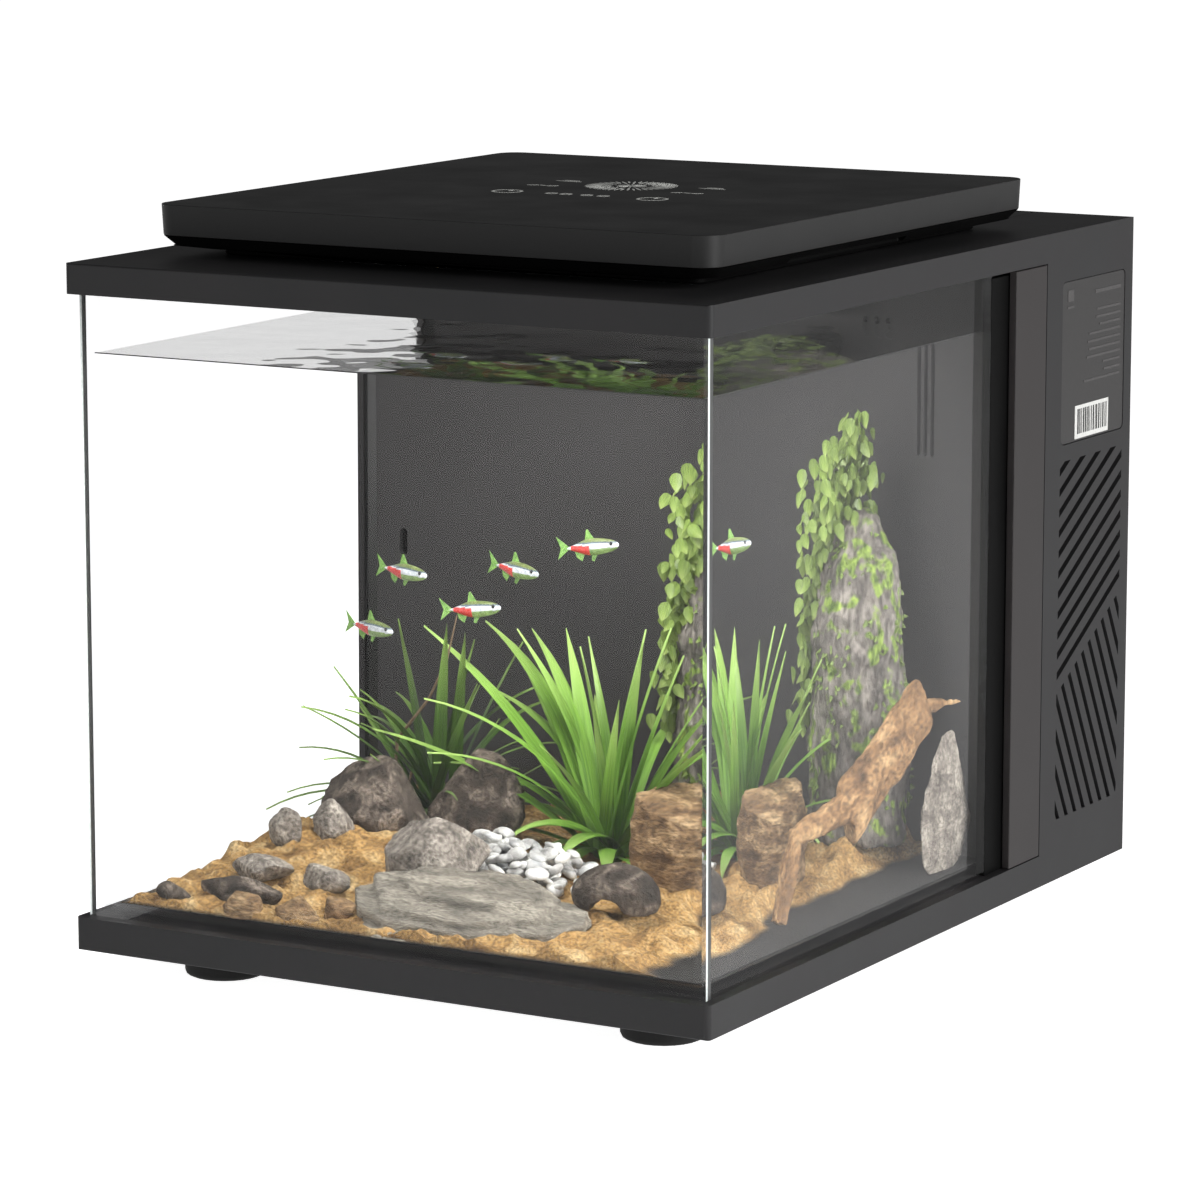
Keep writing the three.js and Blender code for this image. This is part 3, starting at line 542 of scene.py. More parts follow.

# %% [markdown]
# Stone, sand and wood share one idea: several sizes of noise, each doing one job. A large noise
# changes the colour, a fine one speckles and roughens the surface, and on the mossy stone a third
# lays the moss. Dry sand and stone scatter light, so they look matt. The pebbles are polished and
# catch small highlights.
# Slate and wood have the noise stretched along their layers or their grain.

# %% Stone, sand and wood materials
def natural(name, stops, patch_mm, grain_mm, depth_mm, rough=0.85, stretch=(1, 1, 1), moss=None, bare=None):
    material, tree, output, spot = start_material(name)
    mapped = add(tree, "Mapping", {"Vector": spot, "Scale": stretch}).outputs["Vector"]
    patch = add(tree, "TexNoise", {"Vector": mapped, "Scale": per_mm(patch_mm), "Detail": 8,
                                   "Roughness": 0.62, "Distortion": 0.4})
    grain = add(tree, "TexNoise", {"Vector": mapped, "Scale": per_mm(grain_mm), "Detail": 4})
    tone = ramp(tree, patch.outputs["Fac"], *stops)
    speck = ramp(tree, grain.outputs["Fac"], (0.35, "#6E6A66"), (0.62, "#FFFFFF"))
    tone = mix_colour(tree, "MULTIPLY", 0.7, tone, speck)
    if moss:
        patchy = add(tree, "TexNoise", {"Vector": spot, "Scale": per_mm(moss[0]), "Detail": 6})
        cover = ramp(tree, patchy.outputs["Fac"], (0.54, "#000000"), (0.6, "#FFFFFF"))
        leafy = ramp(tree, grain.outputs["Fac"], (0.35, "#3C5120"), (0.65, moss[1]))
        tone = mix_colour(tree, "MIX", cover, tone, leafy)
    # Low parts turn to a given dark colour: where the sand is thinnest this is the bare dark floor, and
    # along the sand's edges it is also painted shade.
    if bare:
        parts = add(tree, "SeparateXYZ", {"Vector": spot})
        cover = add(tree, "MapRange", {"Value": parts.outputs["Z"], "From Min": bare[0] * MM,
                                       "From Max": bare[1] * MM})
        tone = mix_colour(tree, "MIX", cover.outputs["Result"], colour(bare[2]), tone)
    height = add(tree, "Math", {0: patch.outputs["Fac"], 1: grain.outputs["Fac"]}, operation="ADD")
    relief = add(tree, "Bump", {"Height": height.outputs["Value"], "Strength": 0.9,
                                "Distance": depth_mm * MM})
    shader = add(tree, "BsdfPrincipled", {"Base Color": tone, "Roughness": rough,
                                          "Normal": relief.outputs["Normal"]})
    return finish(material, tree, output, shader)


# The sand turns dark below 34.6 mm: the bare floor, with painted shade along the sand's edges.
SAND = natural("golden tank sand", ((0.3, "#70512D"), (0.5, "#B58F57"), (0.7, "#DBC08E")), 14, 1.4, 0.9,
               bare=(32.8, 34.6, "#232221"))
GREY_STONE = natural("grey weathered stone", ((0.3, "#5A544D"), (0.5, "#8F877D"), (0.7, "#C2BAAD")), 9,
                     1.6, 1.4)
BROWN_STONE = natural("dark river stone", ((0.3, "#241F1B"), (0.5, "#4E453C"), (0.7, "#94877A")), 9, 1.6,
                      1.6)
SLATE = natural("layered slate", ((0.3, "#5C5850"), (0.5, "#8A8478"), (0.7, "#B8B1A2")), 14, 1.2, 1.0,
                stretch=(0.5, 1.4, 2.6))
LOG_WOOD = natural("waterlogged wood", ((0.3, "#4E3B2A"), (0.5, "#8D7150"), (0.7, "#C8AB82")), 12, 2.2,
                   1.2, stretch=(1.0, 1.0, 2.4))
DRIFTWOOD = natural("dry driftwood", ((0.3, "#46311F"), (0.5, "#93704A"), (0.7, "#D2AF80")), 11, 1.8,
                    1.2, stretch=(1.6, 0.5, 0.8))
MOSSY_STONE = natural("mossy stone", ((0.3, "#4A4642"), (0.5, "#77716B"), (0.7, "#A39C93")), 12, 2.4,
                      1.4, stretch=(1, 1, 0.5), moss=(9, "#8FA64A"))
PEBBLE = natural("polished pebble", ((0.35, "#A7A8A8"), (0.5, "#DADAD6"), (0.62, "#F6F5F0")), 11, 9,
                 0.05, 0.4)
print("natural materials", len(bpy.data.materials))

# %% [markdown]
# The sand is a fine grid pulled up from the tank floor. Its height is a slope from front to back
# with a mound on the left, and rough noise on top. It thins out towards the panes, most on the
# right, where the dark floor is left bare; the sand is coloured dark where it lies lowest, which
# also paints shade along its edges.

# %% Sand bed
sand_low, sand_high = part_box("sand_bed")
SAND_FOOT = 32.6
SAND_LEAST = 32.7
FLOOR_MM = 33


def ramp_up(value, start, end):
    """A soft step from 0 at start to 1 at end."""
    share = min(max((value - start) / (end - start), 0), 1)
    return share * share * (3 - 2 * share)


def sand_top(x, y):
    """The height of the sand in millimetres above the ground under the feet."""
    slope = 36 + 9 * ramp_up(y, -190, 20)
    mound = 11 * math.exp(-((x + 78) / 42) ** 2 - ((y + 70) / 46) ** 2)
    rough = 4.6 * noise.noise(Vector((x / 16, y / 16, 3))) + 2.6 * noise.noise(Vector((x / 6, y / 6, 9)))
    rough += 1.8 * abs(noise.noise(Vector((x / 3, y / 3, 5))))
    ragged = 7 * noise.noise(Vector((x / 14, y / 14, 1)))
    left = ramp_up(x + ragged, -141, -126)
    bare = 27 * ramp_up(y, -130, -60)
    right = ramp_up(-x + ragged, bare - 119, bare - 99)
    corner = ramp_up(abs(x + 10), 60, 130)
    front = ramp_up(y + ragged, 24 * corner - 212, 13 * corner - 195)
    return SAND_FOOT + (slope + mound + rough - SAND_FOOT) * left * right * front


sand = fresh(bpy.ops.mesh.primitive_grid_add, x_subdivisions=140, y_subdivisions=116, size=1)
sand_size = (sand_high[0] - sand_low[0], sand_high[1] - sand_low[1], 1)
sand_middle = [(low + high) / 2 / MM for low, high in zip(sand_low, sand_high)]
sand_middle[2] = sand_low[2] / MM + 0.1
place(sand, sand_middle, size=sand_size)
bpy.ops.object.mode_set(mode="EDIT")
bpy.ops.mesh.select_all(action="SELECT")
bpy.ops.mesh.extrude_region_move(TRANSFORM_OT_translate={"value": (0, 0, 0.3 * MM)})
leave_edit()
for vertex in sand.data.vertices:
    if vertex.select:
        vertex.co.z = max(sand_top(vertex.co.x / MM, vertex.co.y / MM), SAND_LEAST) * MM
outward(sand)
smooth(sand, 60)
settle(sand, "sand", "frame", "sand", SAND, stands_for=("sand_bed",))

# %% [markdown]
# Stones start as a ball, get flat faces where a plane presses them, and are then remeshed into
# an even grid that two displacements can roughen: a large one for lumps, a small one for grit.

# %% Stones
def texture(name, kind, size_mm):
    made = bpy.data.textures.new(name, kind)
    made.noise_scale = size_mm * MM
    return made


LUMPS = texture("lumps", "CLOUDS", 22)
GRIT = texture("grit", "CLOUDS", 4)
LEDGES = texture("ledges", "VORONOI", 16)
LEDGES.distance_metric = "DISTANCE"


def roughen(piece, voxel_mm, *layers):
    """Remeshes a piece evenly, then displaces it. A layer is a texture and a height in mm."""
    remesh = piece.modifiers.new("even grid", "REMESH")
    remesh.mode = "VOXEL"
    remesh.voxel_size = voxel_mm * MM
    for index, (pattern, height_mm) in enumerate(layers):
        push = piece.modifiers.new(f"relief {index}", "DISPLACE")
        push.texture = pattern
        push.texture_coords = "LOCAL"
        push.strength = height_mm * MM
        push.mid_level = 0.5
    apply_modifiers(piece)
    return piece


def saw(piece, spot_mm, normal):
    """Cuts away what lies beyond a plane and closes the cut."""
    edit_all(piece)
    bpy.ops.mesh.bisect(plane_co=Vector(spot_mm) * MM, plane_no=normal, use_fill=True, clear_outer=True)
    leave_edit()


def press(piece, spot_mm, normal):
    """Pushes every point beyond a plane back onto it, which leaves a flat face."""
    spot, way = Vector(spot_mm) * MM, Vector(normal).normalized()
    for vertex in piece.data.vertices:
        beyond = (vertex.co - spot).dot(way)
        if beyond > 0:
            vertex.co -= way * beyond


def stone(centre_mm, half_mm, seed, cuts=14, depth=0.74, turn=(0, 0, 0), voxel_mm=1.2, lumps=2.4, grit=1.3):
    """A stone about its centre with seeded flat faces, roughened."""
    dice = random.Random(seed)
    piece = fresh(bpy.ops.mesh.primitive_ico_sphere_add, subdivisions=4, radius=1)
    place(piece, (0, 0, 0), (0, 0, 0), [side * MM for side in half_mm])
    for _ in range(cuts):
        way = Vector((dice.uniform(-1, 1), dice.uniform(-1, 1), dice.uniform(-0.7, 1))).normalized()
        reach = depth * dice.uniform(0.9, 1.12)
        press(piece, [reach * half_mm[k] * way[k] for k in range(3)],
              [way[k] / half_mm[k] for k in range(3)])
    place(piece, centre_mm, turn)
    roughen(piece, voxel_mm, (LUMPS, lumps), (LEDGES, lumps * 0.6), (GRIT, grit))
    press(piece, (0, 0, FLOOR_MM), (0, 0, -1))
    smooth(piece, 50)
    return piece


settle(stone((-78, -46, 54), (29, 21, 28), 3), "left_rock_stone", "frame", "rock", BROWN_STONE,
       stands_for=("left_rock",))
settle(stone((-18, -112, 52), (28, 20, 22), 8, 12, 0.72), "grey_rock_stone", "frame", "rock", GREY_STONE,
       stands_for=("grey_rock",))
settle(stone((-38, -28, 58), (24, 15, 29), 21), "middle_dark_stone", "frame", "rock", BROWN_STONE)
settle(stone((-88, -72, 53), (11, 9, 13), 5, lumps=2), "left_pointed_stone", "frame", "rock", GREY_STONE)
settle(stone((127, 47, 56), (6, 25, 37), 14, lumps=2), "back_upright_stone", "frame", "rock", GREY_STONE)

SMALL_STONES = (
    ("box_stone", (-106, -84, 53), (10, 8, 9), 31, GREY_STONE),
    ("flat_stone", (-92, -133, 45), (16, 10, 6), 32, GREY_STONE),
    ("mid_stone", (-57, -136, 45), (14, 9, 7), 33, GREY_STONE),
    ("round_stone", (-86, -164, 41), (20, 10, 8), 34, BROWN_STONE),
    ("black_stone", (-113, -176, 38), (9, 6, 6), 35, BROWN_STONE),
    ("jagged_stone", (-78, -178, 37), (10, 6, 9), 36, LOG_WOOD),
    ("jagged_stone_2", (-52, -176, 37), (14, 6, 8), 37, LOG_WOOD),
    ("jagged_stone_3", (-36, -168, 39), (9, 6, 8), 38, LOG_WOOD),
)
for name, spot, half, seed, material in SMALL_STONES:
    small = stone(spot, half, seed, 9, 0.66, voxel_mm=0.9, lumps=1.2, grit=0.6)
    settle(small, name, "frame", "rock", material)

# %% [markdown]
# Slate splits into thin plates. The slab is four thick discs with ragged outlines, each a little
# smaller than the one below, fused by the remesh so that the ledges stay.

# %% Slate slab
def plate(centre_mm, half_mm, seed, sides=15):
    """One ragged plate: a low cylinder whose corners are pushed in and out."""
    dice = random.Random(seed)
    piece = fresh(bpy.ops.mesh.primitive_cylinder_add, vertices=sides, radius=1, depth=2)
    shifts = [dice.uniform(0.84, 1.1) for _ in range(sides)]
    for vertex in piece.data.vertices:
        angle = math.atan2(vertex.co.y, vertex.co.x)
        push = shifts[round(angle / math.tau * sides) % sides]
        vertex.co.x *= push
        vertex.co.y *= push
    return place(piece, centre_mm, (0, 0, 0), [side * MM for side in half_mm])


layers = (
    plate((0, 0, -5), (54, 36, 4), 1),
    plate((1, 2, 0), (50, 33, 3), 2),
    plate((-1, 5, 3.5), (44, 28, 2.6), 3),
    plate((4, 8, 6.5), (34, 20, 2.2), 4),
)
slab = join(list(layers))
place(slab, (14, -149, 41), (12, 2, 6))
roughen(slab, 1.2, (LUMPS, 3), (GRIT, 1.3))
press(slab, (0, 0, FLOOR_MM), (0, 0, -1))
press(slab, (0, -184.5, 0), (0, -1, 0))
smooth(slab, 50)
settle(slab, "slate_slab_stone", "frame", "rock", SLATE, stands_for=("slate_slab",))

# %% [markdown]
# The arch stone is a dark rounded stone with a hollow under it. A cylinder cuts the hollow before
# the surface is roughened.

# %% Arch stone
arch = fresh(bpy.ops.mesh.primitive_ico_sphere_add, subdivisions=4, radius=1)
place(arch, (68, -110, 48), (0, 0, 0), (20 * MM, 13 * MM, 13 * MM))
saw(arch, (68, -110, 42), (0, 0, -1))
hollow = fresh(bpy.ops.mesh.primitive_cylinder_add, vertices=24, radius=8 * MM, depth=60 * MM)
place(hollow, (66, -112, 40), (90, 0, 10))
cut = arch.modifiers.new("hollow", "BOOLEAN")
cut.operation = "DIFFERENCE"
cut.object = hollow
apply_modifiers(arch)
discard(hollow)
roughen(arch, 1.1, (LUMPS, 3), (GRIT, 1.0))
smooth(arch, 50)
settle(arch, "arch_stone", "frame", "rock", BROWN_STONE)

# %% [markdown]
# The pillar is extruded upwards ring by ring, the way a hand-made rock column is built.

# %% Pillar
PILLAR_RINGS = ((44, 35, 24), (70, 35, 25), (100, 34, 24), (130, 32, 24), (150, 28, 22), (166, 21, 17),
                (177, 13, 11), (184, 6, 6))
pillar = fresh(bpy.ops.mesh.primitive_circle_add, vertices=28, radius=1, fill_type="NGON")
first = PILLAR_RINGS[0]
place(pillar, (0, 0, first[0]), (0, 0, 0), (first[1] * MM, first[2] * MM, 1))
bpy.ops.object.mode_set(mode="EDIT")
bpy.ops.mesh.select_all(action="SELECT")
bpy.ops.mesh.select_mode(type="FACE")
for below, above in zip(PILLAR_RINGS, PILLAR_RINGS[1:]):
    bpy.ops.mesh.extrude_region_move(TRANSFORM_OT_translate={"value": (0, 0, (above[0] - below[0]) * MM)})
    bpy.ops.transform.resize(value=(above[1] / below[1], above[2] / below[2], 1),
                             center_override=(0, 0, above[0] * MM))
leave_edit()
place(pillar, (60, 40, 0), (0, 0, -6))
outward(pillar)
roughen(pillar, 1.8, (LUMPS, 7), (LEDGES, 4), (GRIT, 2.2))
smooth(pillar, 50)
settle(pillar, "pillar_stone", "frame", "rock", MOSSY_STONE, stands_for=("pillar_rock",))

# %% [markdown]
# The stump is a short log: a cylinder that narrows to the foot, tilted a little. The branch on the
# right is a plank-like piece with thin ends, joined from tapered sticks.

# %% Stump and driftwood
def stick(start_mm, end_mm, start_half, end_half, flat=1.0):
    """A tapered stick between two points. Flat narrows it across its width."""
    start, end = Vector(start_mm), Vector(end_mm)
    piece = fresh(bpy.ops.mesh.primitive_cone_add, vertices=10, radius1=start_half * MM,
                  radius2=end_half * MM, depth=(end - start).length * MM)
    place(piece, size=(flat, 1, 1))
    yaw = math.degrees(math.atan2((end - start).x, -(end - start).y))
    lean = math.degrees((end - start).angle(Vector((0, 0, 1))))
    return place(piece, (start + end) / 2, (lean, 0, yaw))


stump = join([stick((64, -41, 40), (65, -41, 58), 18, 21), stick((65, -41, 58), (63, -41, 80), 21, 17)])
saw(stump, (62, -41, 77), (0.2, -0.2, 1))
roughen(stump, 1.3, (LUMPS, 5), (LEDGES, 2.5), (GRIT, 1.6))
smooth(stump, 50)
settle(stump, "log_stump_wood", "frame", "wood", LOG_WOOD, stands_for=("log_stump",))

branch = join([
    stick((128, -108, 40), (128, -93, 76), 6, 5, 0.8),
    stick((128, -96, 74), (128, -30, 78), 4, 9, 0.7),
    stick((127, -48, 73), (127, 22, 108), 16, 14, 0.36),
    stick((128, 10, 109), (129, 58, 104), 3, 1.5, 0.8),
])
roughen(branch, 1.1, (LUMPS, 5), (LEDGES, 2), (GRIT, 1.2))
smooth(branch, 50)
settle(branch, "driftwood_branch", "frame", "wood", DRIFTWOOD, stands_for=("driftwood",))

# %% [markdown]
# One pebble is modelled and copied. Each copy is turned and scaled with a seeded die, and all of
# them are joined into one heap.

# %% Pebbles
first_pebble = fresh(bpy.ops.mesh.primitive_ico_sphere_add, subdivisions=2, radius=1)
dice = random.Random(12)
pebbles = []
while len(pebbles) < 190:
    x, y = dice.gauss(6, 20), dice.gauss(-78, 16)
    if ((x - 6) / 41) ** 2 + ((y + 78) / 32) ** 2 > 1:
        continue
    lift = 16 * max(1 - ((x - 6) / 42) ** 2 - ((y + 78) / 34) ** 2, 0) * dice.uniform(0.2, 1)
    half = dice.uniform(3.2, 5.6)
    shape = (half * MM, half * dice.uniform(0.65, 0.9) * MM, half * dice.uniform(0.34, 0.5) * MM)
    turn = (dice.uniform(-35, 35), dice.uniform(-35, 35), dice.uniform(0, 360))
    pebbles.append(place(duplicate(first_pebble), (x, y, sand_top(x, y) + 1.5 + lift), turn, shape))
discard(first_pebble)
heap = join(pebbles)
smooth(heap, 60)
settle(heap, "pebble_heap", "frame", "rock", PEBBLE)

# %% [markdown]
# Leaves need light through them as much as on them, so their green is bright and a little glossy.
# The stripes run along the blade, which the leaf's own UV map makes possible after any bend.

# %% Leaf materials
def leaf_green(name, dark, light, tip, stripes=9.0):
    material, tree, output, _ = start_material(name)
    layout = add(tree, "UVMap")
    parts = add(tree, "SeparateXYZ", {"Vector": layout.outputs["UV"]})
    across = add(tree, "Mapping", {"Vector": layout.outputs["UV"], "Scale": (stripes, 0.6, 1)})
    veins = add(tree, "TexNoise", {"Vector": across.outputs["Vector"], "Scale": 2.2, "Detail": 3})
    tone = ramp(tree, veins.outputs["Fac"], (0.35, dark), (0.65, light))
    toward_tip = ramp(tree, parts.outputs["Y"], (0.55, "#000000"), (1.0, "#B0B0B0"))
    tone = mix_colour(tree, "MIX", toward_tip, tone, colour(tip))
    relief = add(tree, "Bump", {"Height": veins.outputs["Fac"], "Strength": 0.5, "Distance": 0.2 * MM})
    shader = add(tree, "BsdfPrincipled", {"Base Color": tone, "Roughness": 0.45,
                                          "Normal": relief.outputs["Normal"]})
    return finish(material, tree, output, shader)


BRIGHT_LEAF = leaf_green("bright ribbon leaf", "#3F661D", "#7AA43C", "#C2DA86")
DEEP_LEAF = leaf_green("deep ribbon leaf", "#253D14", "#50722A", "#9DBB62")
IVY_LEAF = leaf_green("yellow-green ivy leaf", "#465C22", "#7F9447", "#A9B76E", 5.0)
STEM = plain_finish("brown stem", "#5A4732", "#86715A", 0.7, 3, 0.1)

# %% [markdown]
# A ribbon leaf starts as a flat grid. An outline narrows it to a point at the tip and
# to a stalk at the foot, the middle is pushed in for a fold, and a bend modifier curls it.

# %% Ribbon leaves
def ribbon(length_mm, width_mm, bend_deg, fold_mm=0.8, rows=12):
    """A leaf that stands at the origin and curls towards -Y."""
    leaf = fresh(bpy.ops.mesh.primitive_grid_add, x_subdivisions=2, y_subdivisions=rows, size=1)
    for vertex in leaf.data.vertices:
        along = vertex.co.y + 0.5
        outline = min(1.0, 0.45 + 1.6 * along) * max(1 - along ** 3.2, 0.02)
        middle_fold = fold_mm * MM if abs(vertex.co.x) < 0.01 else 0
        vertex.co = (vertex.co.x * outline * width_mm * MM, middle_fold, along * length_mm * MM)
    bend = leaf.modifiers.new("curl", "SIMPLE_DEFORM")
    bend.deform_method = "BEND"
    bend.deform_axis = "X"
    bend.angle = math.radians(-bend_deg)
    apply_modifiers(leaf)
    return leaf


def inside_tank(leaf):
    """True if every point of the leaf is clear of the glass, the back wall and the sand."""
    for vertex in leaf.data.vertices:
        x, y, z = vertex.co / MM
        if abs(x) > 139 or not -184 < y < 69 or z < 40:
            return False
    return True


def clump(name, root_mm, leaves, seed, material, slot="leaf", stands_for=()):
    """Copies of the model leaves round a root. Each entry is yaw, lean, size and which leaf."""
    dice = random.Random(seed)
    made = []
    for yaw, lean, size, model in leaves:
        foot = (root_mm[0] + dice.uniform(-5, 5), root_mm[1] + dice.uniform(-5, 5), root_mm[2])
        leaf = place(duplicate(model), foot, (lean, 0, yaw), (size, size, size))
        while not inside_tank(leaf):
            discard(leaf)
            size *= 0.85
            leaf = place(duplicate(model), foot, (lean, 0, yaw), (size, size, size))
        made.append(leaf)
    piece = join(made)
    smooth(piece, 60)
    return settle(piece, name, "frame", slot, material, stands_for=stands_for)


arching = ribbon(120, 8.5, 62)
sweeping = ribbon(120, 9.5, 34)
upright = ribbon(100, 7, 12)
broad = ribbon(40, 9, 110)
slim = ribbon(96, 5.4, 70)
curly = ribbon(52, 6.5, 120)

# yaw 0 leans towards the front, 90 to the right, -90 to the left
SWORD_LEAVES = (
    (-100, 30, 1.12, sweeping), (-86, 50, 1.02, sweeping),
    (-122, 16, 1.14, arching), (-112, 24, 0.95, arching),
    (-78, 22, 0.94, arching), (-96, 40, 0.85, arching), (-130, 8, 1.0, arching), (-60, 30, 0.8, arching),
    (-110, 6, 0.96, upright), (-40, 4, 0.95, upright), (150, 6, 1.0, upright), (60, 5, 0.98, upright),
    (90, 14, 0.98, upright), (104, 24, 1.0, upright), (84, 34, 0.95, upright), (120, 10, 1.05, upright),
    (76, 20, 0.84, sweeping), (140, 26, 0.85, arching), (110, 42, 0.7, arching), (180, 20, 0.8, arching),
    (-150, 22, 0.85, arching), (0, 10, 0.72, upright), (40, 16, 0.8, upright), (-20, 22, 0.6, sweeping),
    (-38, 35, 1.0, broad), (-8, 40, 1.1, broad), (24, 38, 1.0, broad), (52, 44, 0.95, broad),
    (-66, 40, 1.2, broad), (-92, 46, 1.3, broad), (80, 44, 1.0, broad), (-26, 56, 0.9, broad),
    (-54, 22, 1.4, broad), (10, 62, 0.8, broad), (-105, 56, 1.3, broad), (-76, 60, 1.4, broad),
    (-95, 62, 1.5, broad), (-84, 50, 1.7, broad), (-118, 50, 1.5, broad), (-70, 34, 1.6, broad),
    (-48, 44, 1.2, broad), (-14, 28, 1.3, broad), (16, 46, 1.15, broad), (66, 50, 1.3, broad),
    (98, 46, 1.4, broad), (128, 30, 1.4, broad), (-100, 12, 0.9, sweeping), (-128, 30, 0.9, sweeping),
    (-140, 14, 0.9, sweeping), (70, 30, 0.8, sweeping), (-90, 60, 0.72, arching), (-106, 52, 0.8, arching),
)
clump("sword_plant_leaves", (24, -22, 43), SWORD_LEAVES, 4, BRIGHT_LEAF, stands_for=("sword_plant",))

dice = random.Random(40)
fern_leaves = []
for count in range(34):
    yaw = dice.uniform(-180, 180)
    lean = dice.uniform(4, 52)
    kind = slim if count % 3 else upright
    fern_leaves.append((yaw, lean, dice.uniform(0.62, 1.0), kind))
for count in range(16):
    fern_leaves.append((dice.uniform(-130, 60), dice.uniform(25, 70), dice.uniform(0.7, 1.1), curly))
fern_leaves += [(-62, 34, 0.72, sweeping), (-84, 30, 0.95, slim), (-60, 50, 0.9, slim), (-70, 58, 0.9, slim)]
clump("fern_plant_leaves", (-68, -6, 44), fern_leaves, 5, DEEP_LEAF, stands_for=("fern_plant",))

# %% [markdown]
# Two brown stems lean out of the rear plant. They are thin tapered sticks.

# %% Bare stems
stems = join([
    stick((-88, -14, 46), (-84, -16, 84), 1.0, 0.8), stick((-84, -16, 84), (-66, -20, 104), 0.8, 0.6),
    stick((-66, -20, 104), (-56, -22, 122), 0.6, 0.5), stick((-56, -22, 122), (-50, -24, 142), 0.5, 0.3),
    stick((-80, -24, 48), (-72, -26, 72), 0.9, 0.5),
])
smooth(stems, 60)
settle(stems, "bare_stems", "frame", "wood", STEM)

# %% [markdown]
# The ivy hangs from above the pillar along its near side. One heart-shaped leaf is modelled from
# eight faces and copied with seeded turns.

# %% Ivy
def heart(length_mm, width_mm):
    """A heart-shaped leaf that hangs down from the origin, folded along its middle."""
    outline = ((0.0, 0.0), (0.3, -0.1), (0.5, -0.34), (0.38, -0.62), (0.17, -0.85), (0.0, -1.0))
    mesh = bpy.data.meshes.new("ivy_leaf")
    middle = [(0, 0, z * length_mm * MM) for z in (-0.04, -0.3, -0.6, -0.85, -1.0)]
    points, faces = [], []
    for side in (-1, 1):
        start = len(points)
        rim = [(side * x * width_mm * MM, 1.2 * MM * (x * 2) ** 2, z * length_mm * MM)
               for x, z in outline[1:5]]
        points += middle + rim
        quads = [(0, 5, 6, 1), (1, 6, 7, 2), (2, 7, 8, 3), (3, 8, 4)]
        for quad in quads:
            face = tuple(start + k for k in quad)
            faces.append(face if side > 0 else face[::-1])
    mesh.from_pydata(points, [], faces)
    layout = mesh.uv_layers.new(name="UVMap")
    for loop in mesh.loops:
        x, _, z = mesh.vertices[loop.vertex_index].co
        layout.data[loop.index].uv = (x / (width_mm * MM) + 0.5, -z / (length_mm * MM))
    piece = bpy.data.objects.new("ivy_leaf", mesh)
    bpy.context.scene.collection.objects.link(piece)
    outward(piece)
    return piece


model_leaf = heart(9.0, 6.2)
dice = random.Random(77)
ivy = []
IVY_PATH = ((56, 40, 220, 9, 30), (52, 38, 207, 15, 60), (49, 36, 193, 17, 70), (45, 33, 179, 14, 58),
            (40, 31, 163, 10, 40), (35, 30, 148, 7, 26), (31, 30, 132, 5, 18), (30, 30, 118, 5, 16),
            (30, 29, 102, 6, 18))
for x, y, z, spread, count in IVY_PATH:
    for _ in range(count * 3 // 2):
        spot = (x + dice.gauss(0, spread * 0.5), y + dice.gauss(0, spread * 0.7), z + dice.uniform(-10, 10))
        turn = (dice.uniform(-45, 10), dice.uniform(-40, 20), dice.uniform(-40, 80))
        size = dice.uniform(0.65, 1.1)
        ivy.append(place(duplicate(model_leaf), spot, turn, (size, size, size)))
discard(model_leaf)
ivy = join(ivy)
smooth(ivy, 60)
settle(ivy, "ivy_leaves", "frame", "leaf", IVY_LEAF, stands_for=("ivy_plant",))
for model in (arching, sweeping, upright, broad, slim, curly):
    discard(model)

# %% [markdown]
# Moss grows in tufts on the pillar. Each tuft is a tiny leaf laid on the stone where a seeded
# die picks one of its faces.

# %% Moss tufts
tuft = heart(3.4, 3.0)
dice = random.Random(9)
faces = [face for face in pillar.data.polygons if face.normal.x > -0.6 and face.normal.z < 0.8]
tufts = []
while len(tufts) < 260:
    face = dice.choice(faces)
    spot = face.center / MM
    if noise.noise(spot / 22) < -0.05 or spot.z < 60:
        continue
    yaw = math.degrees(math.atan2(face.normal.x, -face.normal.y))
    turn = (dice.uniform(-70, 0), dice.uniform(-40, 40), yaw + dice.uniform(-40, 40))
    size = dice.uniform(0.6, 1.2)
    tufts.append(place(duplicate(tuft), spot + face.normal * 0.6, turn, (size, size, size)))
discard(tuft)
moss = join(tufts)
settle(moss, "moss_tufts", "frame", "leaf", IVY_LEAF)

# %% [markdown]
# Each fish is a ball drawn out to a spindle, with fins cut from thin plates. The colours go on
# face by face: a dark back, a silver flank, a red rear half and a pale belly.

# %% Fish materials
FISH_BACK = plain_finish("fish back olive", "#4E5A33", "#6E7A48", 0.35, 2, 0.02, coat=0.6)
FISH_SILVER = plain_finish("fish flank silver", "#9DA3A8", "#D3D8DC", 0.25, 1.5, 0.02, coat=0.8)
FISH_LINE = plain_finish("fish line blue-grey", "#3E4A52", "#5B6870", 0.3, 1.5, 0.02, coat=0.6)
FISH_RED = plain_finish("fish tail red", "#A42520", "#CF4038", 0.35, 1.5, 0.02, coat=0.6)
FISH_BELLY = plain_finish("fish belly green", "#5F7A42", "#8AA566", 0.35, 1.5, 0.02, coat=0.6)
FISH_FIN = plain_finish("fish fin green", "#4E7A34", "#86AE5A", 0.4, 1.2, 0.02)
FISH_EYE = plain_finish("fish eye black", "#050505", "#101010", 0.1, 1.0, 0.01, coat=1.0)

# %% [markdown]
# One fish is modelled and copied five times. Its ball narrows towards the tail, and the eyes sit
# flush with the head.

# %% Fish
def fin(points_mm, thick_mm=0.25):
    """A thin plate in the fish's middle plane, given by its outline in X and Z."""
    mesh = bpy.data.meshes.new("fin")
    mesh.from_pydata([(x * MM, 0, z * MM) for x, z in points_mm], [], [tuple(range(len(points_mm)))])
    piece = bpy.data.objects.new("fin", mesh)
    bpy.context.scene.collection.objects.link(piece)
    wall = piece.modifiers.new("thickness", "SOLIDIFY")
    wall.thickness = thick_mm * MM
    wall.offset = 0
    apply_modifiers(piece)
    piece.data.materials.append(FISH_FIN)
    return piece


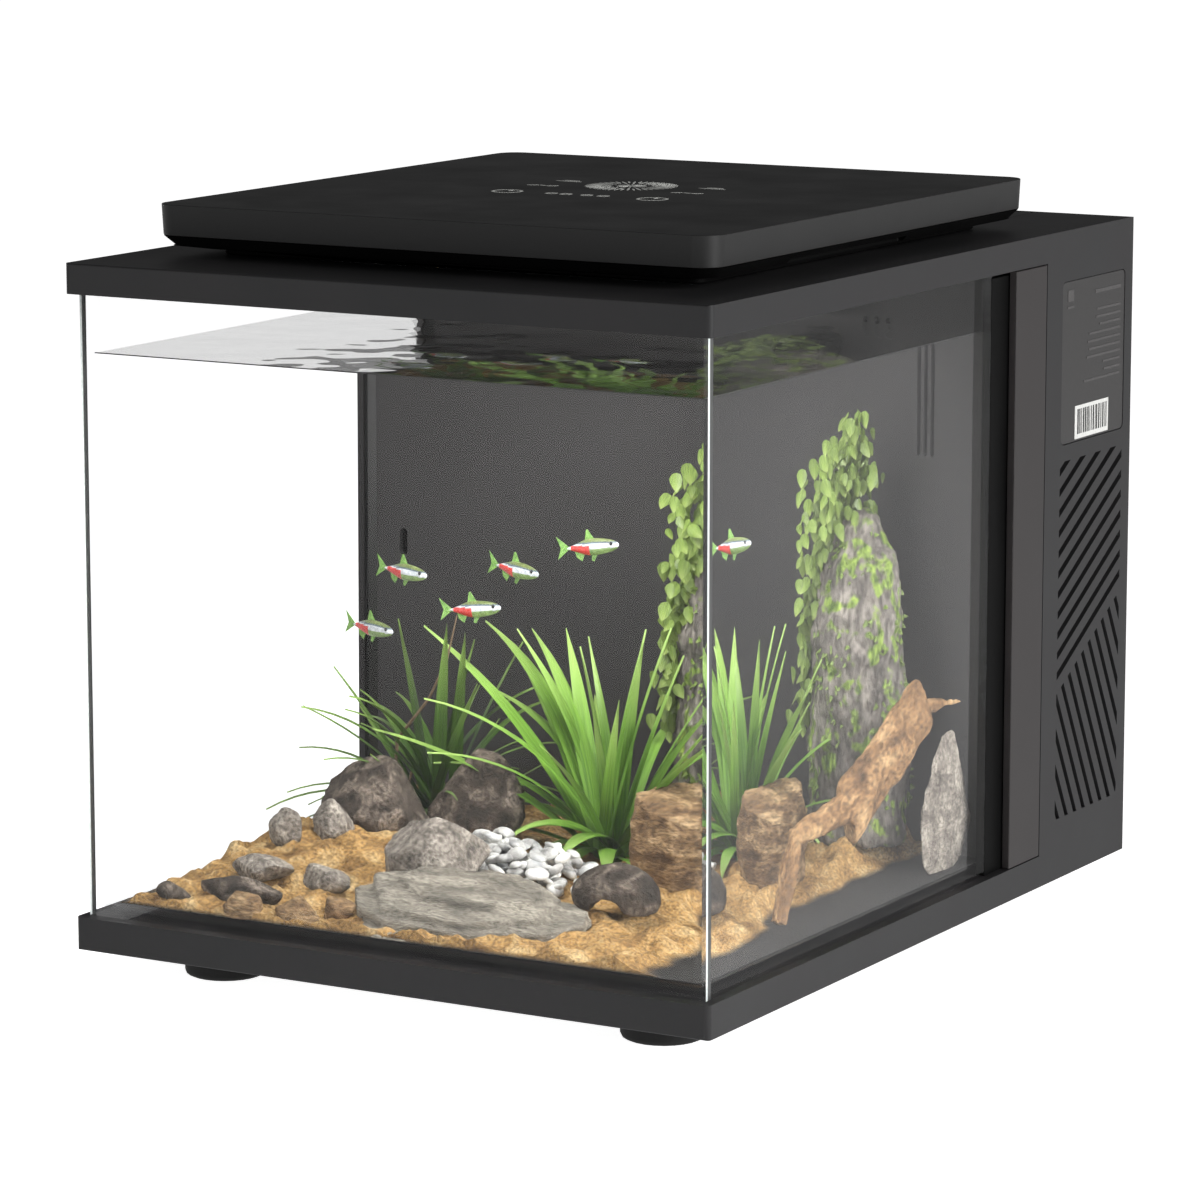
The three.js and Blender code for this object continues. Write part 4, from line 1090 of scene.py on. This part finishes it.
def fish_body():
    body = fresh(bpy.ops.mesh.primitive_uv_sphere_add, segments=28, ring_count=36, radius=1)
    place(body, (0, 0, 0), (0, 90, 0))
    for material in (FISH_BACK, FISH_SILVER, FISH_RED, FISH_BELLY, FISH_LINE):
        body.data.materials.append(material)
    for vertex in body.data.vertices:
        x = vertex.co.x
        full = 1 - 0.62 * ramp_up(-x, 0.05, 1.0)
        side, up = vertex.co.y * 1.9 * full, vertex.co.z * 3.15 * full + 0.3 * x
        vertex.co = (x * 10.5 * MM, side * MM, up * MM)
    for face in body.data.polygons:
        x, z = face.center.x / MM, face.center.z / MM
        if z > 1.8:
            face.material_index = 0
        elif z > 1.2:
            face.material_index = 4
        elif x < -1.0 and z < 0.7 and x > -8.8:
            face.material_index = 2
        elif z > -0.5:
            face.material_index = 1
        else:
            face.material_index = 3
    smooth(body, 80)
    eyes = []
    for side in (-1, 1):
        bpy.ops.mesh.primitive_uv_sphere_add(segments=10, ring_count=8, radius=0.7 * MM)
        eye = bpy.context.object
        place(eye, (7.6, side * 1.0, 0.9))
        eye.data.materials.append(FISH_EYE)
        eyes.append(eye)
    fins = [
        fin(((-9.4, 0.3), (-14.2, 4.4), (-12.6, 0), (-14.2, -4.2), (-9.4, -0.6))),
        fin(((0.8, 3.0), (-1.4, 6.6), (-2.0, 6.4), (-2.8, 2.6))),
        fin(((-3.4, -2.6), (-4.6, -5.2), (-6.6, -3.6), (-7.2, -1.4))),
        fin(((1.6, -3.0), (0.2, -5.4), (-0.8, -5.0), (-0.4, -2.8))),
    ]
    return join([body, *eyes, *fins])


FISH = (("fish_1", (13, -17, 176), 10, -6), ("fish_2", (-27, -10, 162), -12, 6),
        ("fish_3", (-75, -25, 159), -10, 5), ("fish_4", (-43, -20, 145), 12, -4),
        ("fish_5", (-89, -30, 134), -14, 4))
model_fish = fish_body()
for name, spot, yaw, pitch in FISH:
    copy = place(duplicate(model_fish), spot, (0, pitch, yaw), (1.14, 1.14, 1.14))
    settle(copy, name, "frame", "leaf")
discard(model_fish)

# %% [markdown]
# The lid's touch field is printed, so its marks are almost flat: rings, short waves and a disc of
# fine rays, all generic symbols. They ride on the lid.

# %% Touch marks
lid_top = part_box("lid_shell")[1][2] / MM
PRINT_FLAT = 0.12
marks = []


def ring_mark(x, y, outer_mm, line_mm):
    half = line_mm / 2
    ring = fresh(bpy.ops.mesh.primitive_torus_add, major_radius=(outer_mm - half) * MM,
                 minor_radius=half * MM, major_segments=40, minor_segments=6)
    marks.append(place(ring, (x, y, lid_top), (0, 0, 0), (1, 1, PRINT_FLAT)))


def bar_mark(x, y, length_mm, line_mm, yaw=0.0):
    bar = fresh(bpy.ops.mesh.primitive_cylinder_add, vertices=12, radius=1, depth=1)
    size = (length_mm / 2 * MM, line_mm / 2 * MM, PRINT_FLAT * MM)
    marks.append(place(bar, (x, y, lid_top), (0, 0, yaw), size))


for x in (-33, 37):
    ring_mark(x, -40.5, 6.8, 1.3)
    bar_mark(x, -37.0, 4.5, 1.5, 90)
    for shift in (-4.5, 0, 4.5):
        bar_mark(x + shift, -12 + 1.2 * (-1) ** round(shift), 6, 1.4, 24 if shift else -24)
    bar_mark(x, 11, 13, 1.5)
    bar_mark(x, 14, 8, 1.3)
for x in (-12, -5, 5, 13):
    ring_mark(x, -39.5, 2.8, 1.3)
for step in range(44):
    turn = math.tau * step / 44
    near = 9 + 4 * (step % 2)
    middle = (near + 20) / 2
    bar_mark(1 + middle * math.cos(turn), 5.5 + middle * math.sin(turn), 20 - near, 1.0, math.degrees(turn))
for step in range(16):
    turn = math.tau * step / 16
    bar_mark(1 + 4 * math.cos(turn), 5.5 + 4 * math.sin(turn), 5, 0.9, math.degrees(turn))
touch_marks = join(marks)
settle(touch_marks, "touch_marks", "lid", "label", WHITE_INK)

# %% [markdown]
# The label in the side recess is printed stock with faint lines and a small white sticker of
# bars. The lines stand in for small print that says nothing.

# %% Label print
label_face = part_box("rating_label")[1][0] / MM


def flat_bar(y_from, y_to, z_from, z_to, material, rise_mm=0.12):
    """A thin printed rectangle on the right-hand side."""
    middle = (label_face + rise_mm / 2, (y_from + y_to) / 2, (z_from + z_to) / 2)
    size = (rise_mm * MM, (y_to - y_from) * MM, (z_to - z_from) * MM)
    piece = place(fresh(bpy.ops.mesh.primitive_cube_add, size=1), middle, (0, 0, 0), size)
    piece.data.materials.append(material)
    return piece


sticker = [flat_bar(135.5, 170.5, 208.4, 223.0, STICKER_PAPER, 0.1)]
dice = random.Random(6)
y = 138.0
while y < 168:
    wide = dice.choice((0.5, 0.8, 1.3))
    sticker.append(flat_bar(y, y + wide, 210.4, 221.4, BLACK_INK, 0.16))
    y += wide + dice.choice((0.5, 0.7, 1.1))
settle(join(sticker), "bar_sticker", "frame", "label")
lines = [flat_bar(126.5, 132.5, 269.5, 274.5, FAINT_INK), flat_bar(126, 133, 266.4, 267.4, FAINT_INK),
         flat_bar(155, 182, 270.6, 272.2, FAINT_INK)]
for row in range(10):
    lines.append(flat_bar(182 - dice.uniform(16, 40), 182, 263 - 3.4 * row, 264 - 3.4 * row, FAINT_INK))
settle(join(lines), "label_lines", "frame", "label")

# %% [markdown]
# A plain pale floor and soft light from the right, as in a catalogue. The top of the object stays
# dark because little light comes from straight above, and the lid's top is painted darker as shade
# as well. The background is bright where the camera sees it, also mirrored in the water, and dim
# for all other light.

# %% Floor, light and background
floor = fresh(bpy.ops.mesh.primitive_plane_add, size=60)
floor.name = "floor"
material, tree, output, _ = start_material("pale studio floor")
matt = add(tree, "BsdfDiffuse", {"Color": colour("#EDEDED")})
ray = add(tree, "LightPath")
seen = add(tree, "MapRange", {"Value": ray.outputs["Is Camera Ray"], "To Min": 0.62, "To Max": 0.95})
bright = add(tree, "Math", {0: ray.outputs["Is Transmission Ray"], 1: 0.5, 2: seen.outputs["Result"]},
             operation="MULTIPLY_ADD")
glow = add(tree, "Emission", {"Color": colour("#FFFFFF"), "Strength": bright.outputs["Value"]})
both = add(tree, "AddShader", {0: matt.outputs["BSDF"], 1: glow.outputs["Emission"]})
floor.data.materials.append(finish(material, tree, output, both))


def soft_box(name, spot, target, size, power):
    """A square studio lamp that looks at a point."""
    bpy.ops.object.light_add(type="AREA", location=spot)
    lamp = bpy.context.object
    lamp.name = name
    lamp.data.size = size
    lamp.data.energy = power
    lamp.rotation_euler = (Vector(target) - Vector(spot)).to_track_quat("-Z", "Y").to_euler()
    return lamp


soft_box("right_softbox", (2.2, -0.3, 0.8), (0, 0, 0.15), 1.0, 43)
soft_box("front_softbox", (-0.6, -2.4, 1.0), (0, 0, 0.15), 1.2, 10)
tank_lamp = soft_box("tank_lamp", (0, -0.08, 0.3), (0, -0.08, 0), 0.1, 0.62)
tank_lamp.visible_glossy = False

world = bpy.data.worlds.new("studio")
bpy.context.scene.world = world
world.use_nodes = True
sky = world.node_tree
sky.nodes.clear()
paths = add(sky, "LightPath")
seen = add(sky, "Math", {0: paths.outputs["Is Camera Ray"], 1: paths.outputs["Is Transmission Ray"]},
           operation="MAXIMUM")
behind_glass = add(sky, "Math", {0: paths.outputs["Transparent Depth"], 1: 1.5},
                   operation="GREATER_THAN")
glossy = add(sky, "Math", {0: paths.outputs["Is Glossy Ray"], 1: 0.5}, operation="MULTIPLY")
mirrored = add(sky, "Math", {0: glossy.outputs["Value"], 1: behind_glass.outputs["Value"]},
               operation="MULTIPLY")
bright_sky = add(sky, "Math", {0: seen.outputs["Value"], 1: mirrored.outputs["Value"]},
                 operation="MAXIMUM")
strength = add(sky, "MapRange", {"Value": bright_sky.outputs["Value"], "To Min": 0.12, "To Max": 1.2})
backdrop = add(sky, "Background", {"Color": colour("#FFFFFF"), "Strength": strength.outputs["Result"]})
add(sky, "OutputWorld", {"Surface": backdrop.outputs["Background"]})
bpy.context.scene.view_settings.view_transform = "Standard"
